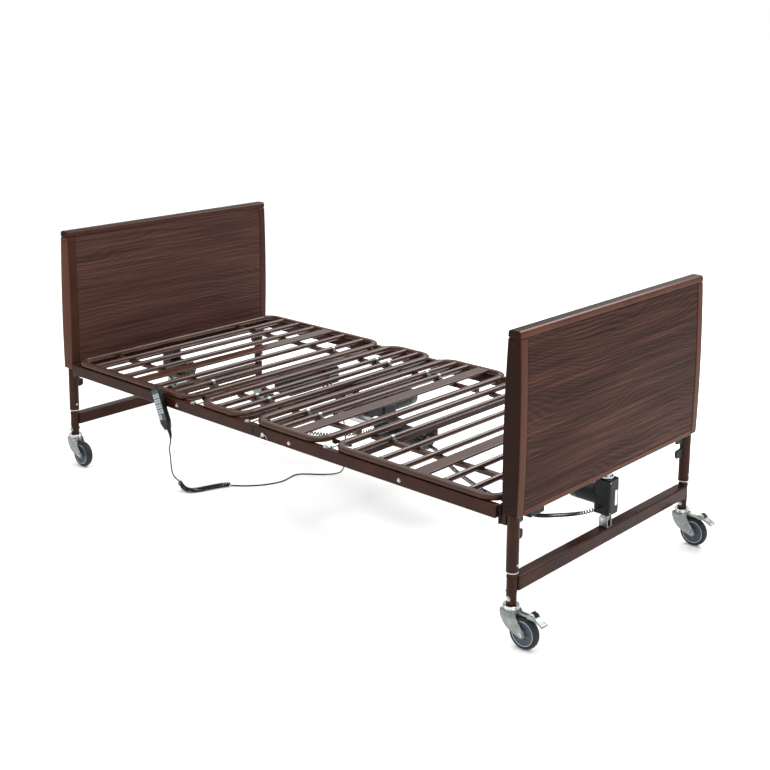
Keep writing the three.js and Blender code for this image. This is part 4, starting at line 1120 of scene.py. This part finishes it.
def make_control_box():
    """The box that feeds the motors: vents on its foot side, screws below and a mains inlet."""
    shape = Shape()
    upright_body(shape, (-0.5, 0.04, 0.305), (-0.4, 0.32, 0.372), 0.008)
    for i in range(9):
        y = 0.14 + 0.014 * i
        shape.block((-0.4002, y, 0.318), (-0.3997, y + 0.006, 0.358), 1)
    corners = [(x, y) for y in (0.056, 0.304) for x in (-0.488, -0.412)]
    lid_screws(shape, corners, 0.3048, -1, 0.0034)
    for y in (0.07, 0.29):
        shape.block((-0.458, y - 0.012, 0.3712), (-0.437, y + 0.012, 0.3862))
    piece("control_unit", shape, MOTOR_LOOKS, replaces=["control_box"])
    # The inlet's face is a dark sheet of painted shade for its opening.
    inlet = Shape().block((-0.5003, 0.092, 0.324), (-0.4985, 0.12, 0.346))
    for y in (0.099, 0.106, 0.113):
        inlet.block((-0.5008, y - 0.001, 0.332), (-0.5002, y + 0.001, 0.338), 1)
    piece("mains_inlet", inlet, [painted_recess_shade_and_print, bolt_steel])


make_deck_frame("head", -RAIL_END, SPLIT - 0.0005)
make_deck_frame("foot", SPLIT + 0.0005, RAIL_END)
make_frame_fittings()
for side in SIDES:
    make_lock_pin(side)
for name in SECTIONS:
    make_section(name)
make_driven_rod("back", BACK_PIVOT, BACK_MOTOR_Y, BACK_TILT, 0.0076)
make_driven_rod("thigh", THIGH_PIVOT, THIGH_MOTOR_Y, THIGH_TILT, 0.0062)
knee_bar = Shape().bar((KNEE_PIVOT, -0.495, PIVOT_Z), (KNEE_PIVOT, 0.495, PIVOT_Z), 0.005, 28)
piece("knee_hinge_bar", knee_bar, bolt_steel, "thigh", replaces=["knee_hinge_rod"])
make_thrust_rod("back", BACK_PIVOT, BACK_TILT, -0.045, BACK_MOTOR_Y)
make_thrust_rod("thigh", THIGH_PIVOT, THIGH_TILT, 0.1, THIGH_MOTOR_Y)
make_back_motor()
make_thigh_motor()
make_control_box()


# ---- casters ----

WHEEL_R, TRAIL = 0.05, 0.0505
RACE_BOTTOM, RACE_TOP = 0.113, 0.1247
FORK_TOP = RACE_BOTTOM - 0.0003


def make_caster(end, side):
    x, y = ENDS[end] * LEG_X, SIDES[side] * LEG_Y
    place = f"{end}_{side}"
    make_caster_stem(place, x, y, leg_body(end))
    make_caster_fork(place, x, y, end == "foot")
    make_caster_wheel(place, x + TRAIL, y)
    if end == "foot":
        make_brake_pedal(side, x, y)


def make_caster_stem(place, x, y, body):
    """The plug in the leg, the double ball race under it and the king pin's head."""
    shape = Shape()
    profile = [
        (0, 0.094), (0.0075, 0.094), (0.01, 0.0958), (0.01, 0.098), (0.006, 0.098), (0.006, RACE_BOTTOM),
        (0.0225, RACE_BOTTOM), (0.0255, 0.1138), (0.026, 0.1152), (0.0252, 0.1172), (0.0235, 0.1182),
        (0.0235, 0.1192), (0.0256, 0.1204), (0.026, 0.1222), (0.0245, 0.1242), (0.019, RACE_TOP),
        (0.011, RACE_TOP), (0.011, 0.185), (0, 0.185),
    ]
    shape.lathe(profile, (x, y, 0), sides=56)
    piece(f"caster_race_{place}", shape, chrome, body, replaces=[f"caster_stem_{place}"])


def fork_arm_outline():
    """The side of a fork arm: a round shoulder under the race, swept down to a cheek at the axle."""
    front = curve((0.0235, FORK_TOP), (0.0335, 0.09), (TRAIL + 0.0128, WHEEL_R + 0.003), 14)
    cheek = arc((TRAIL, WHEEL_R), 0.013, 0.1, -2.3, 16)
    back = curve(cheek[-1], (-0.019, 0.052), (-0.0275, 0.098), 18)[1:]
    return front + cheek + back + [(-0.0275, 0.106), (-0.0255, FORK_TOP)]


def curve(start, control, end, count):
    """A quadratic curve between two points, pulled towards a third."""
    points = []
    for t in np.linspace(0, 1, count):
        weighted = list(zip(((1 - t) ** 2, 2 * t * (1 - t), t * t), (start, control, end)))
        points.append((sum(w * p[0] for w, p in weighted), sum(w * p[1] for w, p in weighted)))
    return points


def make_caster_fork(place, x, y, braked):
    """Two arms under a round crown, and the axle. A braked one has a bar for the pedal."""
    shape = Shape()
    outline = [(x + u, z) for u, z in fork_arm_outline()]
    for sign in (-1, 1):
        shape.prism(outline, "y", y + sign * 0.0166, y + sign * 0.0198)
    crown = [
        (0.0065, 0.1015), (0.02, 0.1015), (0.0235, 0.099), (0.0258, 0.0935), (0.0278, 0.0935),
        (0.0288, 0.099), (0.0286, 0.105), (0.0272, 0.1098), (0.0245, FORK_TOP), (0.0065, FORK_TOP),
    ]
    shape.lathe(crown, (x, y, 0), sides=56, loop=True)
    if braked:
        shape.block((x + 0.02, y - 0.008, 0.1035), (x + 0.064, y + 0.008, 0.11))
    body, node = f"fork_{place}", f"caster_fork_{place}"
    piece(f"caster_yoke_{place}", shape, zinc, body, replaces=[node], edge=0.0009, steps=3)
    axle = Shape().bar((x + TRAIL, y - 0.0237, WHEEL_R), (x + TRAIL, y + 0.0237, WHEEL_R), 0.0045, 24)
    for sign in (-1, 1):
        hex_head(axle, (x + TRAIL, y + sign * 0.0185, WHEEL_R), (0, sign, 0), 0.0075, 0.0042)
    piece(f"caster_axle_{place}", axle, bolt_steel, body)


def make_caster_wheel(place, x, y):
    """A grey core in a rounded tyre, with a raised ring on each face."""
    tyre, core = Shape(), Shape()
    turns = np.linspace(-math.pi / 2, math.pi / 2, 17)
    tread = [(0.0405 + 0.0095 * math.cos(a), 0.0147 * math.sin(a)) for a in turns]
    tread = [(0.0392, -0.0122)] + tread + [(0.0392, 0.0122)]
    tyre.lathe(tread, (x, y, WHEEL_R), (0, 1, 0), 72, loop=True)
    half = [
        (0.0052, 0.0128), (0.0095, 0.0128), (0.0105, 0.0118), (0.0115, 0.0086), (0.026, 0.0078),
        (0.0305, 0.0088), (0.0335, 0.0112), (0.0355, 0.0118), (0.0395, 0.0118),
    ]
    core_profile = half + [(r, -h) for r, h in reversed(half)]
    core.lathe(core_profile, (x, y, WHEEL_R), (0, 1, 0), 64, loop=True)
    for sign in (-1, 1):
        ring = [(0.0362, 0.0115), (0.0386, 0.0115), (0.0386, 0.0123), (0.0362, 0.0123)]
        core.lathe([(r, sign * h) for r, h in ring], (x, y, WHEEL_R), (0, 1, 0), 64, 1, loop=True)
        for i in range(6):
            angle = 2 * math.pi * i / 6
            at = (x + 0.0185 * math.cos(angle), y + sign * 0.0078, WHEEL_R + 0.0185 * math.sin(angle))
            core.lathe([(0, 0), (0.0026, 0), (0.0022, 0.0006), (0, 0.0006)], at, (0, sign, 0), 14, 2)
    piece(f"caster_tyre_{place}", tyre, rubber, f"wheel_{place}", replaces=[f"caster_wheel_{place}"])
    piece(f"caster_core_{place}", core, [hub_grey, panel_grey, black], f"wheel_{place}")


def make_brake_pedal(side, x, y):
    """A brake lever with a rolled end, two ears and a ribbed toe pad."""
    lever = Shape()
    outline = [
        (0.0665, 0.1035), (0.092, 0.1035), (0.108, 0.0968), (0.1195, 0.0912), (0.1225, 0.0905),
        (0.1225, 0.0958), (0.11, 0.1035), (0.095, 0.112), (0.083, 0.1155), (0.07, 0.118), (0.0665, 0.114),
    ]
    lever.prism([(x + u, z) for u, z in outline], "y", y - 0.0148, y + 0.0148)
    body, node = f"pedal_{side}", f"brake_pedal_foot_{side}"
    piece(f"brake_lever_{side}", lever, zinc, body, replaces=[node], edge=0.0015, steps=3)
    roll = Shape().bar((x + 0.1185, y - 0.0146, 0.0945), (x + 0.1185, y + 0.0146, 0.0945), 0.0038, 24)
    for sign in (-1, 1):
        ear = curve((x + 0.0695, 0.1165), (x + 0.083, 0.1335), (x + 0.097, 0.1115), 12)
        roll.prism(ear, "y", y + sign * 0.0095, y + sign * 0.0115)
    piece(f"brake_roll_{side}", roll, bolt_steel, body, edge=0.0006)
    pad = Shape().block((x + 0.0735, y - 0.0085, 0.1115), (x + 0.0955, y + 0.0085, 0.1205))
    for i in range(4):
        rib = x + 0.0748 + 0.0054 * i
        pad.block((rib, y - 0.008, 0.12), (rib + 0.0024, y + 0.008, 0.1215))
    piece(f"brake_toe_pad_{side}", pad, black, body, edge=0.0012, steps=3)


for end in ENDS:
    for side in SIDES:
        make_caster(end, side)


# ---- handset ----

HANDSET_AT, HANDSET_TILT = Vector((-0.46, -0.55225, 0.381)), math.radians(25)
HANDSET_W, HANDSET_D = 0.044, 0.0275
KEY_PITCH, KEY_COLUMN, KEY_TOP = 0.0195, 0.0092, 0.052
KEYS = (
    ("back_up", "knee_up", "height_up", "contour_up", "lock"),
    ("back_down", "knee_down", "height_down", "contour_down"),
)


def in_handset(shape):
    """Turns points from the handset's own frame, keys facing -Y and Z along it, to where it hangs."""
    turn = Matrix.Rotation(-HANDSET_TILT, 3, "Y")
    shape.points = [tuple(HANDSET_AT + turn @ Vector(p)) for p in shape.points]
    return shape


def make_handset():
    """The handset's case, face and hook, and its keys."""
    hw, hd = HANDSET_W / 2, HANDSET_D / 2
    outline = [(hw, 0.074), (hw - 0.001, 0.0775), (hw - 0.004, 0.081), (-hw + 0.004, 0.081)]
    outline += [(-hw + 0.001, 0.0775), (-hw, 0.074), (-hw, -0.046), (-hw + 0.0008, -0.05)]
    outline += [(-0.0095, -0.074), (-0.0078, -0.0756), (0.0078, -0.0756), (0.0095, -0.074)]
    outline += [(hw - 0.0008, -0.05), (hw, -0.046)]
    rows = []
    for depth, narrow in ((0.0006 - hd, 1), (hd - 0.016, 1), (hd - 0.009, 0.9), (hd - 0.005, 0.72)):
        rows.append([(u * narrow, depth, w - (1 - narrow) * 0.12 * w) for u, w in reversed(outline)])
    shell = Shape().grid(rows)
    piece("handset_case", in_handset(shell), black, replaces=["handset_shell"], edge=0.0025, steps=4)
    plate = [(0.0195, 0.07), (0.018, 0.0745), (-0.018, 0.0745), (-0.0195, 0.07), (-0.0195, -0.037)]
    plate += [(-0.0175, -0.0405), (0.0175, -0.0405), (0.0195, -0.037)]
    face = Shape().prism(plate, "y", -hd, -hd + 0.0012)
    piece("handset_face", in_handset(face), key_grey, edge=0.0004)
    loop = Shape()
    arch = [(-0.0085, 0.004, 0.079), (-0.0085, 0.004, 0.086), (-0.006, 0.004, 0.0893), (0, 0.004, 0.0905)]
    arch += [(-u, v, z) for u, v, z in reversed(arch[:3])]
    loop.sweep(smooth_route(arch, 0.0012), rounded(0.0028, 0.0023, 0.001, 3), up=(0, 1, 0))
    piece("handset_hook", in_handset(loop), black)
    for column, names in enumerate(KEYS):
        for row, name in enumerate(names):
            make_key(name, (1 if column else -1) * KEY_COLUMN, KEY_TOP - row * KEY_PITCH, column)


def make_key(name, u, w, column):
    """A soft key with a raised mark: arrows up on the left, arrows down on the right, a bar on the lock."""
    face = -HANDSET_D / 2
    key = Shape().block((u - 0.0079, face - 0.0009, w - 0.008), (u + 0.0079, face + 0.0022, w + 0.008))
    body = f"{name}_key"
    cap, node = f"{name}_key_cap", f"key_{name}"
    piece(cap, in_handset(key), panel_grey, body, replaces=[node], edge=0.0009, steps=3)
    mark = Shape()
    if name == "lock":
        outline = [(u + i * 0.004, w + j * 0.0013) for i, j in ((-1, -1), (1, -1), (1, 1), (-1, 1))]
    else:
        tip = -1 if column else 1
        outline = [(u - 0.0042, w - tip * 0.002), (u + 0.0042, w - tip * 0.002), (u, w + tip * 0.0032)]
    mark.prism(outline, "y", face - 0.0013, face - 0.0008)
    piece(f"{name}_key_mark", in_handset(mark), painted_recess_shade_and_print, body)


make_handset()


# ---- stage and light ----

WALL, CEILING = 0.48, 1.25  # the walls' grey, and the strength of the ceiling's light


def make_stage():
    shape = Shape().block((-40, -40, -0.02), (40, 40, 0))
    pale = Surface("pale_floor", 0.7)
    floor = make_object("floor", shape, [pale.finish((0.93, 0.93, 0.93, 1))])
    bpy.context.scene.world = make_studio()
    bpy.context.scene.view_settings.view_transform = "Standard"


def make_studio():
    """A white room: its ceiling is a bright soft box and its walls are dim, so that metal has contrast. The
    camera sees plain white instead."""
    world = bpy.data.worlds.new("studio")
    world.use_nodes = True
    tree = world.node_tree
    place = add_node(tree, "TexCoord", {}).outputs["Generated"]
    split = add_node(tree, "SeparateXYZ", {0: place})
    height = add_node(tree, "ValToRGB", {"Fac": split.outputs["Z"]})
    wall, ceiling = height.color_ramp.elements
    wall.position, wall.color = 0.0, (WALL, WALL, WALL, 1)
    ceiling.position, ceiling.color = 0.75, WHITE
    room = add_node(tree, "Background", {"Strength": CEILING, "Color": height.outputs["Color"]})
    backdrop = tree.nodes["Background"]
    backdrop.inputs["Color"].default_value = WHITE
    from_camera = add_node(tree, "LightPath", {}).outputs["Is Camera Ray"]
    seen = add_node(tree, "MixShader", {0: from_camera, 1: room.outputs[0], 2: backdrop.outputs[0]})
    tree.links.new(seen.outputs[0], tree.nodes["World Output"].inputs["Surface"])
    return world


def area_light(name, at, towards, size, power):
    data = bpy.data.lights.new(name, "AREA")
    data.shape = "RECTANGLE"
    data.size, data.size_y = size
    data.energy = power
    light = bpy.data.objects.new(name, data)
    light.location = at
    light.rotation_euler = (Vector(towards) - Vector(at)).to_track_quat("-Z", "Y").to_euler()
    bpy.context.scene.collection.objects.link(light)


make_stage()
area_light("key", (4.2, -1.6, 2.6), (0, 0, 0.5), (2.0, 1.4), 32)
area_light("fill", (-1.5, -4.0, 2.4), (0, 0, 0.4), (2.5, 1.2), 14)
area_light("top", (0, -0.3, 3.4), (0, 0, 0.4), (3.2, 1.2), 75)
area_light("back", (0.4, 3.4, 3.9), (0, 0, 0.4), (3.4, 1.9), 200)
